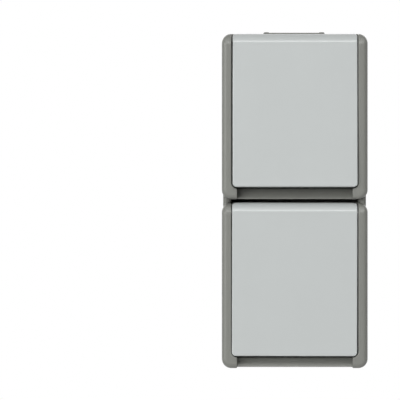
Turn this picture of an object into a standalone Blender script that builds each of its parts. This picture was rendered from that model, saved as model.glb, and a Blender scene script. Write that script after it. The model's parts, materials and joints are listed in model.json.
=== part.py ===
"""Surface-mounted rocker switch above a lidded socket outlet, both in one box.

Metres, +Z up. The wall is the plane y = 0 and the front looks towards -Y, so a depth d from the wall
lies at y = -d. The origin is on the rear face of the box, at its middle.
"""
import math

import bmesh
import bpy
from mathutils import Matrix, Vector

# Driving dimensions, in metres and degrees
GAP = 0.0003                  # clearance between two seated pieces
RUNNING_GAP = 0.0005          # clearance round a piece that moves past another

UNIT_WIDTH = 0.0660           # each cover, left to right
UNIT_HEIGHT = 0.0750          # each cover, feet to top
UNIT_SPACING = 0.0015         # between the two covers

BOX_INSET = 0.0007            # box edge behind the edge of the covers
BOX_DEPTH = 0.0320            # wall to rim
BOX_WALL = 0.0022
BOX_FLOOR = 0.0025
BOX_CORNER = 0.0045
WEB_THICKNESS = 0.0055        # bar between the two halves of the box
WIRE_PASSAGE = 0.0120         # width of the wire way through the bar
ENTRY_RADIUS = 0.0100         # cable entries, top and bottom
BOSS_WIDTH = 0.0277           # raised pad round the top entry
BOSS_DEPTH = 0.0230
BOSS_RISE = 0.0017
BOSS_END_WIDTH = 0.0025       # bead at each end of the pad
BOSS_END_RISE = 0.0003
GROMMET_FLANGE = 0.0018
GROMMET_SKIN = 0.0012
WALL_HOLE_RADIUS = 0.0025
WALL_HOLE_LENGTH = 0.0060     # straight part of each slot
WALL_HOLE_PITCH = 0.1200      # between slots, up and down
WALL_HOLE_SPREAD = 0.0360     # between slots, left to right
GASKET_THICKNESS = 0.0012
LEDGE_WIDTH = 0.0013          # step along the inside of the rim, where a gasket lies

FRAME_DEPTH = 0.0217          # rear rim of a cover to the front of its cheeks
FRAME_CORNER = 0.0043
FRAME_WALL = 0.0032
CHEEK_WIDTH = 0.00425
CHEEK_ROUND = 0.0020          # rounding along the outer front edge of the cheeks
DECK_RECESS = 0.0105          # front of the cheeks to the front of the inner deck
DECK_THICKNESS = 0.0020
FOOT_WIDTH = 0.0068
FOOT_HEIGHT = 0.0049
UPPER_SILL_RISE = 0.0001      # lower edge of a finger recess above the feet
LOWER_SILL_RISE = 0.0005
SILL_RECESS = 0.0044          # lower edge of the finger recess behind the cheeks
SILL_LEAN = 0.0030            # how far the recess face leans back towards its top
TOP_LIP = 0.0025              # top wall ahead of the deck

PANEL_SIDE_GAP = 0.00045
PANEL_FOOT_GAP = 0.0006
PANEL_PROUD = 0.0003          # panel front ahead of the cheeks
PANEL_THICKNESS = 0.0020
PANEL_CORNER = 0.0017
SKIRT_DEPTH = 0.0030
SKIRT_THICKNESS = 0.0018
BEND_DROP = 0.0037            # bend line below the top of the panel
BEND_LEAN = 0.45              # share of the roll's depth spent on the steep part of its curve
HOOD_THICKNESS = 0.0018
HINGE_DROP = 0.0047           # lid axis below the top, also the radius of the hood behind it
HINGE_SETBACK = 0.0050        # lid axis behind the front of the cheeks
ROCKER_HOOD_END = 100.0       # where the hood ends, round the lid axis from the front
LID_HOOD_END = 120.0

SCREW_RADIUS = 0.0014
SCREW_GRIP = 0.0090           # length of a fixing screw in the piece that holds it
SCREW_HEAD_RADIUS = 0.0030
SCREW_HEAD_HEIGHT = 0.0018
SLOT_WIDTH = 0.0008
POST_RADIUS = 0.0032
POST_MARGIN = 0.0006          # post or screw head to the wall beside it
FRAME_SCREW_INSET = 0.0130    # cover screws from the top and bottom of the cover
TERMINAL_RADIUS = 0.0012
TERMINAL_LENGTH = 0.0032
TERMINAL_HEAD_RADIUS = 0.0023
TERMINAL_HEAD_HEIGHT = 0.0018

WIRE_SPACE = 0.0060           # room for wires behind the two inserts
INSERT_HEIGHT = 0.0400
INSERT_ROOM = 0.0029          # side of an insert to the heads of its fixing screws
LUG_MARGIN = 0.00125          # posts of an insert to the wall beside them
LUG_RISE = 0.0090             # fixing lugs ahead of the back of an insert
LUG_THICKNESS = 0.0030
LUG_HEIGHT = 0.0080

ROCKER_TILT = 2.5             # each way from level
CONTACT_RATIO = 3.2           # contact rocker's tilt for each degree of the rocker's
PIVOT_RISE = 0.0040           # rocker axle ahead of the deck
AXLE_RADIUS = 0.0018
EAR_THICKNESS = 0.0032
EAR_HEIGHT = 0.0080
EAR_WALL = 0.0014
EAR_ROOM = 0.0018             # ears to the seal round them
CARRIER_HEIGHT = 0.0180
CARRIER_THICKNESS = 0.0035
ARM_THICKNESS = 0.0035
ARM_HEIGHT = 0.0070
TUBE_WALL = 0.0016
PLUNGER_RADIUS = 0.0022
PLUNGER_LENGTH = 0.0090
PLUNGER_NOSE = 0.0036         # length that stands out of the tube
SPRING_WIRE = 0.0005
SPRING_TURNS = 6
CLIP_THICKNESS = 0.0015
CLIP_WIDTH = 0.0160
CLIP_DEPTH = 0.0028
WINDOW_MARGIN = 0.0015        # deck window round the ears and the carrier
SWITCH_SEAL = 0.0024
SEAL_WIDTH = 0.0017
POCKET_DEPTH = 0.0180
POCKET_WIDTH = 0.0110
CONTACT_WIDTH = 0.0050
CONTACT_THICKNESS = 0.0010
CONTACT_SPREAD = 0.0110       # fixed contacts from the middle of the pocket
CONTACT_REACH = 0.0160        # middle of the pocket to the outer end of a contact
CONTACT_OVERHANG = 0.0040     # contact past the middle of the pocket, on the other side
TERMINAL_OFFSET = 0.0125      # terminal screws from the middle of the pocket
SEESAW_WIDTH = 0.0070
SEESAW_LENGTH = 0.0260
SEESAW_THICKNESS = 0.0012
SEESAW_RISE = 0.0051          # axis ahead of the contact strips
BUTTON_RADIUS = 0.0018
BUTTON_HEIGHT = 0.0008

WELL_DEPTH = 0.0175
WELL_RIM = 0.0015             # rim ahead of the deck
CUP_WALL = 0.0024
CUP_FLOOR = 0.0025
CUP_FLANGE = 0.0025
FLANGE_THICKNESS = 0.0020
SOCKET_SEAL = 0.0014
COLLAR_WALL = 0.0020
LID_SEAL_HEIGHT = 0.0022
LID_SEAL_WIDTH = 0.0024
LID_SEAL_ROOM = 0.00195       # lid seal to the skirts of the lid and the leg of its spring
PIN_PITCH = 0.0190            # between the two contact holes
PIN_HOLE_RADIUS = 0.0027
KEY_WIDTH = 0.0054
KEY_DEPTH = 0.0015
STRAP_WIDTH = 0.0070
STRAP_THICKNESS = 0.0012
CLIP_ARM_WIDTH = 0.0050
CLIP_ARM_THICKNESS = 0.0010
CLIP_ARM_OFFSET = 0.0015      # arm in from the wall of the well
CLIP_ARM_NOSE = 0.0012
CLIP_ARM_DROP = 0.0030        # arm tip below the rim
EARTH_TAB = 0.0065
EARTH_TAB_HEIGHT = 0.0055
EARTH_TAB_INSET = 0.0055      # middle of the tab from the end of the strap
SLEEVE_RADIUS = 0.0034
SLEEVE_WALL = 0.0008
SLEEVE_FLOOR = 0.0023         # base left behind each sleeve
SLEEVE_TAB_WIDTH = 0.0056
SLEEVE_TAB_LENGTH = 0.0160
SLEEVE_TAB_THICKNESS = 0.0012
SLEEVE_SCREW_DROP = 0.0130

HINGE_PIN_RADIUS = 0.00125
HINGE_PIN_SEAT = 0.0025       # depth of the pin's seat in each cheek
KNUCKLE_RADIUS = 0.0030
KNUCKLE_WIDTH = 0.0025
KNUCKLE_OFFSET = 0.0112
LID_SPRING_WIRE = 0.0006
LID_SPRING_TURNS = 5
LID_SPRING_PITCH = 0.0015
LID_SPRING_LEG = 0.0037

EMBED = 0.0003                # overlap of two shapes that are joined into one piece
OVERSHOOT = 0.0010            # how far a cutter runs past what it cuts

# Places worked out from the driving dimensions
HALF_WIDTH = UNIT_WIDTH / 2
HALF_SPACING = UNIT_SPACING / 2
UNIT_BOTTOM = {"upper": HALF_SPACING, "lower": -HALF_SPACING - UNIT_HEIGHT}
SILL_RISE = {"upper": UPPER_SILL_RISE, "lower": LOWER_SILL_RISE}
BOX_HALF_WIDTH = HALF_WIDTH - BOX_INSET
BOX_HALF_HEIGHT = UNIT_HEIGHT + HALF_SPACING - BOX_INSET
ENTRY_DEPTH = (BOX_FLOOR + BOX_DEPTH) / 2

FRAME_BACK = BOX_DEPTH + GAP
LEDGE_FRONT = FRAME_BACK - GASKET_THICKNESS - 2 * GAP
FRAME_FRONT = FRAME_BACK + FRAME_DEPTH
DECK_FRONT = FRAME_FRONT - DECK_RECESS
DECK_BACK = DECK_FRONT - DECK_THICKNESS
OPENING_HALF = HALF_WIDTH - CHEEK_WIDTH

PANEL_FRONT = FRAME_FRONT + PANEL_PROUD
PANEL_INNER = PANEL_FRONT - PANEL_THICKNESS
PANEL_HALF = OPENING_HALF - PANEL_SIDE_GAP
SKIRT_BACK = PANEL_INNER - SKIRT_DEPTH
HINGE_DEPTH = FRAME_FRONT - HINGE_SETBACK

INSERT_BACK = BOX_FLOOR + WIRE_SPACE
LUG_BACK = INSERT_BACK + LUG_RISE
LUG_FRONT = LUG_BACK + LUG_THICKNESS
LUG_POST_TOP = LUG_BACK - GAP
LUG_OFFSET = BOX_HALF_WIDTH - BOX_WALL - POST_RADIUS - LUG_MARGIN
INSERT_HALF = LUG_OFFSET - SCREW_HEAD_RADIUS - INSERT_ROOM
POST_OFFSET = min(
    BOX_HALF_WIDTH - BOX_WALL - POST_RADIUS - POST_MARGIN,
    OPENING_HALF - SCREW_HEAD_RADIUS - POST_MARGIN,
)
SCREW_HOLE = SCREW_RADIUS + GAP
TERMINAL_HOLE = TERMINAL_RADIUS + GAP

PIVOT_DEPTH = DECK_FRONT + PIVOT_RISE
CARRIER_FRONT = PANEL_INNER - GAP
CARRIER_BACK = CARRIER_FRONT - CARRIER_THICKNESS
EAR_OUTER = INSERT_HALF - SEAL_WIDTH - EAR_ROOM
EAR_INNER = EAR_OUTER - EAR_THICKNESS
CARRIER_HALF = EAR_INNER - GAP
WINDOW_HALF_WIDTH = EAR_OUTER + WINDOW_MARGIN
WINDOW_HALF_HEIGHT = CARRIER_HEIGHT / 2 + WINDOW_MARGIN
SWITCH_FRONT = DECK_BACK - SWITCH_SEAL - 2 * GAP
POCKET_FLOOR = SWITCH_FRONT - POCKET_DEPTH
STRIP_BACK = POCKET_FLOOR + GAP
STRIP_FRONT = STRIP_BACK + CONTACT_THICKNESS
CHANNEL_HALF = CONTACT_WIDTH / 2 + RUNNING_GAP
CONTACT_TILT = CONTACT_RATIO * ROCKER_TILT
SEESAW_DEPTH = STRIP_FRONT + SEESAW_RISE
PLUNGER_TIP = SEESAW_DEPTH + SEESAW_THICKNESS / 2 + RUNNING_GAP
PLUNGER_TOP = PLUNGER_TIP + PLUNGER_LENGTH
TUBE_END = PLUNGER_TIP + PLUNGER_NOSE
TUBE_BORE = PLUNGER_RADIUS + GAP
TUBE_RADIUS = TUBE_BORE + TUBE_WALL

SPRING_LEG_RISE = (UNIT_HEIGHT - FOOT_HEIGHT - PANEL_FOOT_GAP) / 2 - HINGE_DROP - LID_SPRING_LEG
LID_SEAL_RADIUS = min(PANEL_HALF - SKIRT_THICKNESS, SPRING_LEG_RISE) - LID_SEAL_ROOM
COLLAR_MIDDLE = LID_SEAL_RADIUS - LID_SEAL_WIDTH / 2
COLLAR_OUTER = COLLAR_MIDDLE + COLLAR_WALL / 2
COLLAR_INNER = COLLAR_MIDDLE - COLLAR_WALL / 2
COLLAR_FRONT = PANEL_INNER - LID_SEAL_HEIGHT - 2 * GAP
CUP_RADIUS = COLLAR_INNER - GAP
WELL_RADIUS = CUP_RADIUS - CUP_WALL
RIM_FRONT = DECK_FRONT + WELL_RIM
WELL_FLOOR = RIM_FRONT - WELL_DEPTH
CUP_BACK = WELL_FLOOR - CUP_FLOOR
FLANGE_FRONT = DECK_BACK - SOCKET_SEAL - 2 * GAP
FLANGE_BACK = FLANGE_FRONT - FLANGE_THICKNESS
FLANGE_RADIUS = CUP_RADIUS + CUP_FLANGE
STRAP_FRONT = CUP_BACK - GAP
STRAP_BACK = STRAP_FRONT - STRAP_THICKNESS
SOCKET_FRONT = STRAP_BACK - GAP
EARTH_TAB_FRONT = STRAP_FRONT - TERMINAL_HEAD_HEIGHT - 3 * GAP
EARTH_TAB_BACK = EARTH_TAB_FRONT - STRAP_THICKNESS
SLEEVE_BACK = INSERT_BACK + SLEEVE_FLOOR + GAP
SLEEVE_FRONT = CUP_BACK - GAP
ARM_OUTER = WELL_RADIUS - CLIP_ARM_OFFSET + CLIP_ARM_THICKNESS / 2
ARM_INNER = ARM_OUTER - CLIP_ARM_THICKNESS


def unit_top(unit):
    return UNIT_BOTTOM[unit] + UNIT_HEIGHT


def panel_bottom(unit):
    return UNIT_BOTTOM[unit] + FOOT_HEIGHT + PANEL_FOOT_GAP


def panel_middle(unit):
    return (panel_bottom(unit) + unit_top(unit)) / 2


def hinge_height(unit):
    return unit_top(unit) - HINGE_DROP


def frame_screw_points(unit):
    """Cover screws sit in two opposite corners: (x, z) of the left one, then of the right one."""
    upper_left = (-POST_OFFSET, unit_top(unit) - FRAME_SCREW_INSET)
    lower_right = (POST_OFFSET, UNIT_BOTTOM[unit] + FRAME_SCREW_INSET)
    return upper_left, lower_right


def insert_screw_points(unit):
    """Fixing screws of an insert, (x, z) of the left one, then of the right one."""
    return (-LUG_OFFSET, panel_middle(unit)), (LUG_OFFSET, panel_middle(unit))


# Outlines

def arc(centre_u, centre_v, radius, start, end, steps):
    """Points on a circle between two angles in degrees, both ends included."""
    points = []
    for step in range(steps + 1):
        angle = math.radians(start + (end - start) * step / steps)
        points.append((centre_u + radius * math.cos(angle), centre_v + radius * math.sin(angle)))
    return points


def circle(centre_u, centre_v, radius, sides):
    return arc(centre_u, centre_v, radius, 0, 360, sides)[:-1]


def rounded_rectangle(u0, u1, v0, v1, radius, steps=6):
    return (
        arc(u1 - radius, v0 + radius, radius, -90, 0, steps)
        + arc(u1 - radius, v1 - radius, radius, 0, 90, steps)
        + arc(u0 + radius, v1 - radius, radius, 90, 180, steps)
        + arc(u0 + radius, v0 + radius, radius, 180, 270, steps)
    )


def stadium(centre_u, centre_v, radius, length, steps=6):
    """Slot with round ends, its straight part along v."""
    half = length / 2
    return (
        arc(centre_u, centre_v + half, radius, 0, 180, steps)
        + arc(centre_u, centre_v - half, radius, 180, 360, steps)
    )


def roll(front, bend, top, back, steps=8):
    """Side outline of a bend: from the front face at the bend line, rolling back to the level top."""
    knee = front - (front - back) * BEND_LEAN
    points = []
    for step in range(steps + 1):
        t = step / steps
        depth = (1 - t) ** 2 * front + 2 * t * (1 - t) * knee + t ** 2 * back
        height = (1 - t) ** 2 * bend + 2 * t * (1 - t) * top + t ** 2 * top
        points.append((depth, height))
    return points


# Solids

def place(axis, along, u, v):
    """World point. Axis x reads (u, v) as (depth, z), axis d as (x, z) and axis z as (x, depth)."""
    if axis == "x":
        return Vector((along, -u, v))
    if axis == "d":
        return Vector((u, -along, v))
    return Vector((u, -v, along))


def add_object(name, bm):
    bmesh.ops.recalc_face_normals(bm, faces=bm.faces)
    mesh = bpy.data.meshes.new(name)
    bm.to_mesh(mesh)
    bm.free()
    obj = bpy.data.objects.new(name, mesh)
    bpy.context.scene.collection.objects.link(obj)
    return obj


def prism(name, axis, outline, low, high):
    bm = bmesh.new()
    near = [bm.verts.new(place(axis, low, u, v)) for u, v in outline]
    far = [bm.verts.new(place(axis, high, u, v)) for u, v in outline]
    bm.faces.new(near)
    bm.faces.new(far)
    for index in range(len(outline)):
        after = (index + 1) % len(outline)
        bm.faces.new((near[index], near[after], far[after], far[index]))
    return add_object(name, bm)


def block(name, x0, x1, d0, d1, z0, z1):
    return prism(name, "d", [(x0, z0), (x1, z0), (x1, z1), (x0, z1)], d0, d1)


def cylinder(name, axis, u, v, radius, low, high, sides=16):
    return prism(name, axis, circle(u, v, radius, sides), low, high)


def turned(name, axis, u, v, profile, sides=24):
    """Solid of revolution about an axis through (u, v). The profile holds (radius, along) points."""
    bm = bmesh.new()
    rings = []
    for radius, along in profile:
        if radius == 0:
            rings.append([bm.verts.new(place(axis, along, u, v))])
        else:
            rings.append([bm.verts.new(place(axis, along, *p)) for p in circle(u, v, radius, sides)])
    for index, ring in enumerate(rings):
        after = rings[(index + 1) % len(rings)]
        if len(ring) == 1 and len(after) == 1:
            continue
        for side in range(sides):
            following = (side + 1) % sides
            corners = [
                ring[side % len(ring)],
                ring[following % len(ring)],
                after[following % len(after)],
                after[side % len(after)],
            ]
            bm.faces.new(list(dict.fromkeys(corners)))
    return add_object(name, bm)


def wire(name, points, diameter):
    """Round wire along a line of points, closed at both ends."""
    curve = bpy.data.curves.new(name, "CURVE")
    curve.dimensions = "3D"
    curve.bevel_depth = diameter / 2
    curve.bevel_resolution = 1
    curve.use_fill_caps = True
    spline = curve.splines.new("POLY")
    spline.points.add(len(points) - 1)
    for spline_point, point in zip(spline.points, points):
        spline_point.co = (*point, 1.0)
    obj = bpy.data.objects.new(name, curve)
    bpy.context.scene.collection.objects.link(obj)
    return obj


def combine(target, tool, operation):
    modifier = target.modifiers.new("Combine", "BOOLEAN")
    modifier.operation = operation
    modifier.solver = "EXACT"
    modifier.object = tool
    graph = bpy.context.evaluated_depsgraph_get()
    result = bpy.data.meshes.new_from_object(target.evaluated_get(graph))
    before = target.data
    target.modifiers.remove(modifier)
    target.data = result
    bpy.data.meshes.remove(before)
    bpy.data.objects.remove(tool)
    return target


def cut(target, tool):
    return combine(target, tool, "DIFFERENCE")


def join(target, tool):
    return combine(target, tool, "UNION")


def common(target, tool):
    return combine(target, tool, "INTERSECT")


def drill(target, x, z, radius, low, high):
    return cut(target, cylinder("drill", "d", x, z, radius, low, high, sides=12))


# Finishes

def material(name, colour, roughness, metallic=0.0):
    finish = bpy.data.materials.new(name)
    finish.use_nodes = True
    shader = finish.node_tree.nodes["Principled BSDF"]
    shader.inputs["Base Color"].default_value = (*colour, 1.0)
    shader.inputs["Roughness"].default_value = roughness
    shader.inputs["Metallic"].default_value = metallic
    return finish


def finish(obj, surface):
    obj.data.materials.clear()
    obj.data.materials.append(surface)
    if obj.type == "MESH":
        obj.data.shade_smooth()
        obj.data.set_sharp_from_angle(angle=math.radians(32))
    return obj


# Box, entries and gaskets

def box_opening(side, grow):
    """Outline of the upper (1) or lower (-1) half of the box's inside, grown into its walls."""
    half = BOX_HALF_WIDTH - BOX_WALL + grow
    ends = sorted((side * (WEB_THICKNESS / 2 - grow), side * (BOX_HALF_HEIGHT - BOX_WALL + grow)))
    return rounded_rectangle(-half, half, *ends, BOX_CORNER - BOX_WALL + grow)


def make_back_box(surface):
    box = prism(
        "back_box", "d",
        rounded_rectangle(-BOX_HALF_WIDTH, BOX_HALF_WIDTH, -BOX_HALF_HEIGHT, BOX_HALF_HEIGHT, BOX_CORNER),
        0, BOX_DEPTH,
    )
    join(box, make_entry_pad())
    high = BOX_DEPTH + OVERSHOOT
    for side in (1, -1):
        cut(box, prism("cavity", "d", box_opening(side, 0), BOX_FLOOR, high))
        cut(box, prism("ledge", "d", box_opening(side, LEDGE_WIDTH), LEDGE_FRONT, high))
        outer = BOX_HALF_HEIGHT + BOSS_RISE + OVERSHOOT
        ends = sorted((side * (BOX_HALF_HEIGHT - BOX_WALL - OVERSHOOT), side * outer))
        cut(box, cylinder("entry", "z", 0, ENTRY_DEPTH, ENTRY_RADIUS, *ends, sides=24))
    half_web = WEB_THICKNESS / 2 + OVERSHOOT
    half_way = WIRE_PASSAGE / 2
    cut(box, block("way", -half_way, half_way, BOX_FLOOR, INSERT_BACK, -half_web, half_web))
    for unit in UNIT_BOTTOM:
        for x, z in frame_screw_points(unit):
            add_post(box, x, z, LEDGE_FRONT)
        for x, z in insert_screw_points(unit):
            add_post(box, x, z, LUG_POST_TOP)
    for x in (-WALL_HOLE_SPREAD / 2, WALL_HOLE_SPREAD / 2):
        for z in (-WALL_HOLE_PITCH / 2, WALL_HOLE_PITCH / 2):
            slot = stadium(x, z, WALL_HOLE_RADIUS, WALL_HOLE_LENGTH)
            cut(box, prism("slot", "d", slot, -OVERSHOOT, BOX_FLOOR + OVERSHOOT))
    return finish(box, surface)


def make_entry_pad():
    """Pad round the top cable entry, with a low bead at each end."""
    half = BOSS_WIDTH / 2
    step = half - BOSS_END_WIDTH
    foot = BOX_HALF_HEIGHT - EMBED
    top = BOX_HALF_HEIGHT + BOSS_RISE
    bead = top + BOSS_END_RISE
    outline = [
        (-half, foot), (half, foot), (half, bead), (step, bead),
        (step, top), (-step, top), (-step, bead), (-half, bead),
    ]
    return prism("pad", "d", outline, ENTRY_DEPTH - BOSS_DEPTH / 2, ENTRY_DEPTH + BOSS_DEPTH / 2)


def add_post(box, x, z, top):
    """Screw post on the floor of the box, with a blind hole."""
    join(box, cylinder("post", "d", x, z, POST_RADIUS, BOX_FLOOR - EMBED, top, sides=12))
    drill(box, x, z, SCREW_HOLE, top - SCREW_GRIP, top + OVERSHOOT)


def make_grommet(name, side, outer, surface):
    """Rubber membrane in a cable entry, its flange against the inside of the box wall."""
    neck = ENTRY_RADIUS - GAP
    inside = BOX_HALF_HEIGHT - BOX_WALL - GAP
    bore = neck - GROMMET_FLANGE
    top = outer - GAP
    profile = [
        (0, top - GROMMET_SKIN), (bore / 3, top - GROMMET_SKIN), (bore / 2, top), (neck, top),
        (neck, inside), (neck + GROMMET_FLANGE, inside), (neck + GROMMET_FLANGE, inside - GROMMET_FLANGE),
        (bore, inside - GROMMET_FLANGE), (bore, top - 2 * GROMMET_SKIN), (0, top - 2 * GROMMET_SKIN),
    ]
    profile = [(radius, side * along) for radius, along in profile]
    return finish(turned(name, "z", 0, ENTRY_DEPTH, profile, sides=24), surface)


def make_gasket(name, side, surface):
    """Flat gasket on the ledge of one half of the box."""
    low = LEDGE_FRONT + GAP
    high = low + GASKET_THICKNESS
    gasket = prism(name, "d", box_opening(side, LEDGE_WIDTH - GAP), low, high)
    cut(gasket, prism("window", "d", box_opening(side, 0), low - OVERSHOOT, high + OVERSHOOT))
    return finish(gasket, surface)


# Covers

def make_frame_shell(name, unit):
    """Cover with its cheeks, feet, finger recess and deck, before the deck is pierced."""
    bottom = UNIT_BOTTOM[unit]
    top = unit_top(unit)
    face = rounded_rectangle(-HALF_WIDTH, HALF_WIDTH, bottom, top, FRAME_CORNER, steps=8)
    frame = prism(name, "d", face, FRAME_BACK, FRAME_FRONT - CHEEK_ROUND)
    join(frame, make_cheek_front(bottom, top))
    side = [(FRAME_BACK - OVERSHOOT, bottom - OVERSHOOT), (FRAME_FRONT + OVERSHOOT, bottom - OVERSHOOT)]
    side += [(FRAME_FRONT + OVERSHOOT, top - BEND_DROP)]
    side += roll(FRAME_FRONT, top - BEND_DROP, top, HINGE_DEPTH)[1:-1]
    side += [(HINGE_DEPTH, top + EMBED), (FRAME_BACK - OVERSHOOT, top + EMBED)]
    common(frame, prism("side", "x", side, -UNIT_WIDTH, UNIT_WIDTH))

    foot_top = bottom + FOOT_HEIGHT
    opening = rounded_rectangle(
        -OPENING_HALF, OPENING_HALF, foot_top, top + 2 * FRAME_CORNER, PANEL_CORNER + PANEL_SIDE_GAP
    )
    cut(frame, prism("opening", "d", opening, DECK_FRONT + TOP_LIP, FRAME_FRONT + OVERSHOOT))
    under_lip = rounded_rectangle(
        -OPENING_HALF, OPENING_HALF, foot_top, top - FRAME_WALL, PANEL_CORNER + PANEL_SIDE_GAP
    )
    cut(frame, prism("opening", "d", under_lip, DECK_FRONT, DECK_FRONT + TOP_LIP + OVERSHOOT))

    sill = bottom + SILL_RISE[unit]
    sill_front = FRAME_FRONT - SILL_RECESS
    lean = SILL_LEAN / (foot_top - sill)
    recess = [
        (FRAME_BACK - OVERSHOOT, bottom - OVERSHOOT), (FRAME_FRONT + OVERSHOOT, bottom - OVERSHOOT),
        (FRAME_FRONT + OVERSHOOT, foot_top + OVERSHOOT),
        (sill_front - SILL_LEAN - lean * OVERSHOOT, foot_top + OVERSHOOT),
        (sill_front, sill), (FRAME_BACK - OVERSHOOT, sill),
    ]
    inner_foot = HALF_WIDTH - FOOT_WIDTH
    cut(frame, prism("recess", "x", recess, -inner_foot, inner_foot))

    inner = HALF_WIDTH - FRAME_WALL
    cavity = rounded_rectangle(
        -inner, inner, bottom + FRAME_WALL, top - FRAME_WALL, FRAME_CORNER - FRAME_WALL
    )
    cut(frame, prism("cavity", "d", cavity, FRAME_BACK - OVERSHOOT, DECK_BACK))
    for x, z in frame_screw_points(unit):
        low = LEDGE_FRONT + GAP
        join(frame, cylinder("boss", "d", x, z, POST_RADIUS, low, DECK_BACK + EMBED, sides=12))
    return frame


def make_cheek_front(bottom, top, steps=4):
    """Front slab of a cover, stepping in round its outline to round the outer edge."""
    bm = bmesh.new()
    rings = []
    layers = [(FRAME_FRONT - CHEEK_ROUND - EMBED, 0.0)]
    for step in range(steps + 1):
        angle = math.radians(90 * step / steps)
        rise = CHEEK_ROUND * (1 - math.sin(angle))
        layers.append((FRAME_FRONT - rise, CHEEK_ROUND * (1 - math.cos(angle))))
    for depth, inset in layers:
        outline = rounded_rectangle(
            -HALF_WIDTH + inset, HALF_WIDTH - inset, bottom + inset, top - inset,
            FRAME_CORNER - inset, steps=8,
        )
        rings.append([bm.verts.new(place("d", depth, u, v)) for u, v in outline])
    for low, high in zip(rings, rings[1:]):
        for index in range(len(low)):
            after = (index + 1) % len(low)
            bm.faces.new((low[index], low[after], high[after], high[index]))
    bm.faces.new(rings[0])
    bm.faces.new(rings[-1])
    return add_object("cheek_front", bm)


def drill_frame_screws(frame, unit):
    for x, z in frame_screw_points(unit):
        drill(frame, x, z, SCREW_HOLE, LEDGE_FRONT, DECK_FRONT + OVERSHOOT)


def make_upper_frame(surface):
    frame = make_frame_shell("upper_frame", "upper")
    middle = panel_middle("upper")
    cut(frame, block(
        "window", -WINDOW_HALF_WIDTH, WINDOW_HALF_WIDTH, DECK_BACK - OVERSHOOT, DECK_FRONT + OVERSHOOT,
        middle - WINDOW_HALF_HEIGHT, middle + WINDOW_HALF_HEIGHT,
    ))
    drill_frame_screws(frame, "upper")
    return finish(frame, surface)


def make_lower_frame(surface):
    """Cover of the socket: a round collar for the lid seal, and seats for the hinge pin."""
    frame = make_frame_shell("lower_frame", "lower")
    middle = panel_middle("lower")
    join(frame, cylinder("collar", "d", 0, middle, COLLAR_OUTER, DECK_FRONT - EMBED, COLLAR_FRONT, sides=40))
    low = DECK_BACK - OVERSHOOT
    cut(frame, cylinder("bore", "d", 0, middle, COLLAR_INNER, low, COLLAR_FRONT + OVERSHOOT, sides=40))
    drill_frame_screws(frame, "lower")
    axis = hinge_height("lower")
    for side in (1, -1):
        ends = sorted((side * (OPENING_HALF - OVERSHOOT), side * (OPENING_HALF + HINGE_PIN_SEAT)))
        cut(frame, cylinder("seat", "x", HINGE_DEPTH, axis, HINGE_PIN_RADIUS + GAP, *ends, sides=16))
    swing = HINGE_DROP + RUNNING_GAP
    cut(frame, cylinder("swing", "x", HINGE_DEPTH, axis, swing, -OPENING_HALF, OPENING_HALF, sides=48))
    return finish(frame, surface)


# Rocker and lid

def make_panel(name, unit, hood_end, hinge_boss):
    """Thin panel with skirts, whose top rolls back into a hood round the hinge axis of its cover."""
    bottom = panel_bottom(unit)
    top = unit_top(unit)
    axis = hinge_height(unit)
    bend = top - BEND_DROP
    side = [(SKIRT_BACK, bottom), (PANEL_FRONT, bottom)]
    side += roll(PANEL_FRONT, bend, top, HINGE_DEPTH)
    side += arc(HINGE_DEPTH, axis, HINGE_DROP, 90, hood_end, 3)[1:]
    if hinge_boss:
        side += arc(HINGE_DEPTH, axis, KNUCKLE_RADIUS, 180, 250, 5)
        side += [(SKIRT_BACK, axis - 2 * KNUCKLE_RADIUS)]
    else:
        side += [(SKIRT_BACK, axis)]
    panel = prism(name, "x", side, -PANEL_HALF, PANEL_HALF)
    face = rounded_rectangle(-PANEL_HALF, PANEL_HALF, bottom, top + EMBED, PANEL_CORNER)
    common(panel, prism("face", "d", face, 0, PANEL_FRONT + OVERSHOOT))

    hollow_top = top - HOOD_THICKNESS
    hood_radius = HINGE_DROP - HOOD_THICKNESS
    behind = SKIRT_BACK - FRAME_DEPTH
    end = math.radians(hood_end)
    reach = HINGE_DROP + OVERSHOOT
    hollow = [(behind, bottom + SKIRT_THICKNESS), (PANEL_INNER, bottom + SKIRT_THICKNESS)]
    hollow += roll(PANEL_INNER, bend - BEND_LEAN * HOOD_THICKNESS, hollow_top, HINGE_DEPTH)
    hollow += arc(HINGE_DEPTH, axis, hood_radius, 90, hood_end, 3)[1:]
    hollow += [(HINGE_DEPTH + reach * math.cos(end), axis + reach * math.sin(end))]
    hollow += [(behind, axis + reach * math.sin(end))]
    inner = PANEL_HALF - SKIRT_THICKNESS
    cut(panel, prism("hollow", "x", hollow, -inner, inner))
    return panel


def make_rocker(surface):
    """Rocker panel, with two clips that hold its carrier."""
    rocker = make_panel("rocker", "upper", ROCKER_HOOD_END, hinge_boss=False)
    middle = panel_middle("upper")
    near = CARRIER_HEIGHT / 2 + GAP
    for side in (1, -1):
        ends = sorted((middle + side * near, middle + side * (near + CLIP_THICKNESS)))
        half = CLIP_WIDTH / 2
        join(rocker, block("clip", -half, half, PANEL_INNER - CLIP_DEPTH, PANEL_INNER + EMBED, *ends))
    return finish(rocker, surface)


def make_lid(surface):
    """Lid panel, with two knuckles on the hinge pin."""
    lid = make_panel("lid", "lower", LID_HOOD_END, hinge_boss=True)
    axis = hinge_height("lower")
    front = PANEL_INNER + EMBED
    knuckle = [(front, axis), *arc(HINGE_DEPTH, axis, KNUCKLE_RADIUS, 90, 250, 8)]
    knuckle += [(front, axis - 2 * KNUCKLE_RADIUS)]
    for side in (1, -1):
        middle = side * KNUCKLE_OFFSET
        half = KNUCKLE_WIDTH / 2
        join(lid, prism("knuckle", "x", knuckle, middle - half, middle + half))
    hole = HINGE_PIN_RADIUS + GAP
    cut(lid, cylinder("pin_hole", "x", HINGE_DEPTH, axis, hole, -HALF_WIDTH, HALF_WIDTH, sides=16))
    return finish(lid, surface)


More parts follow.
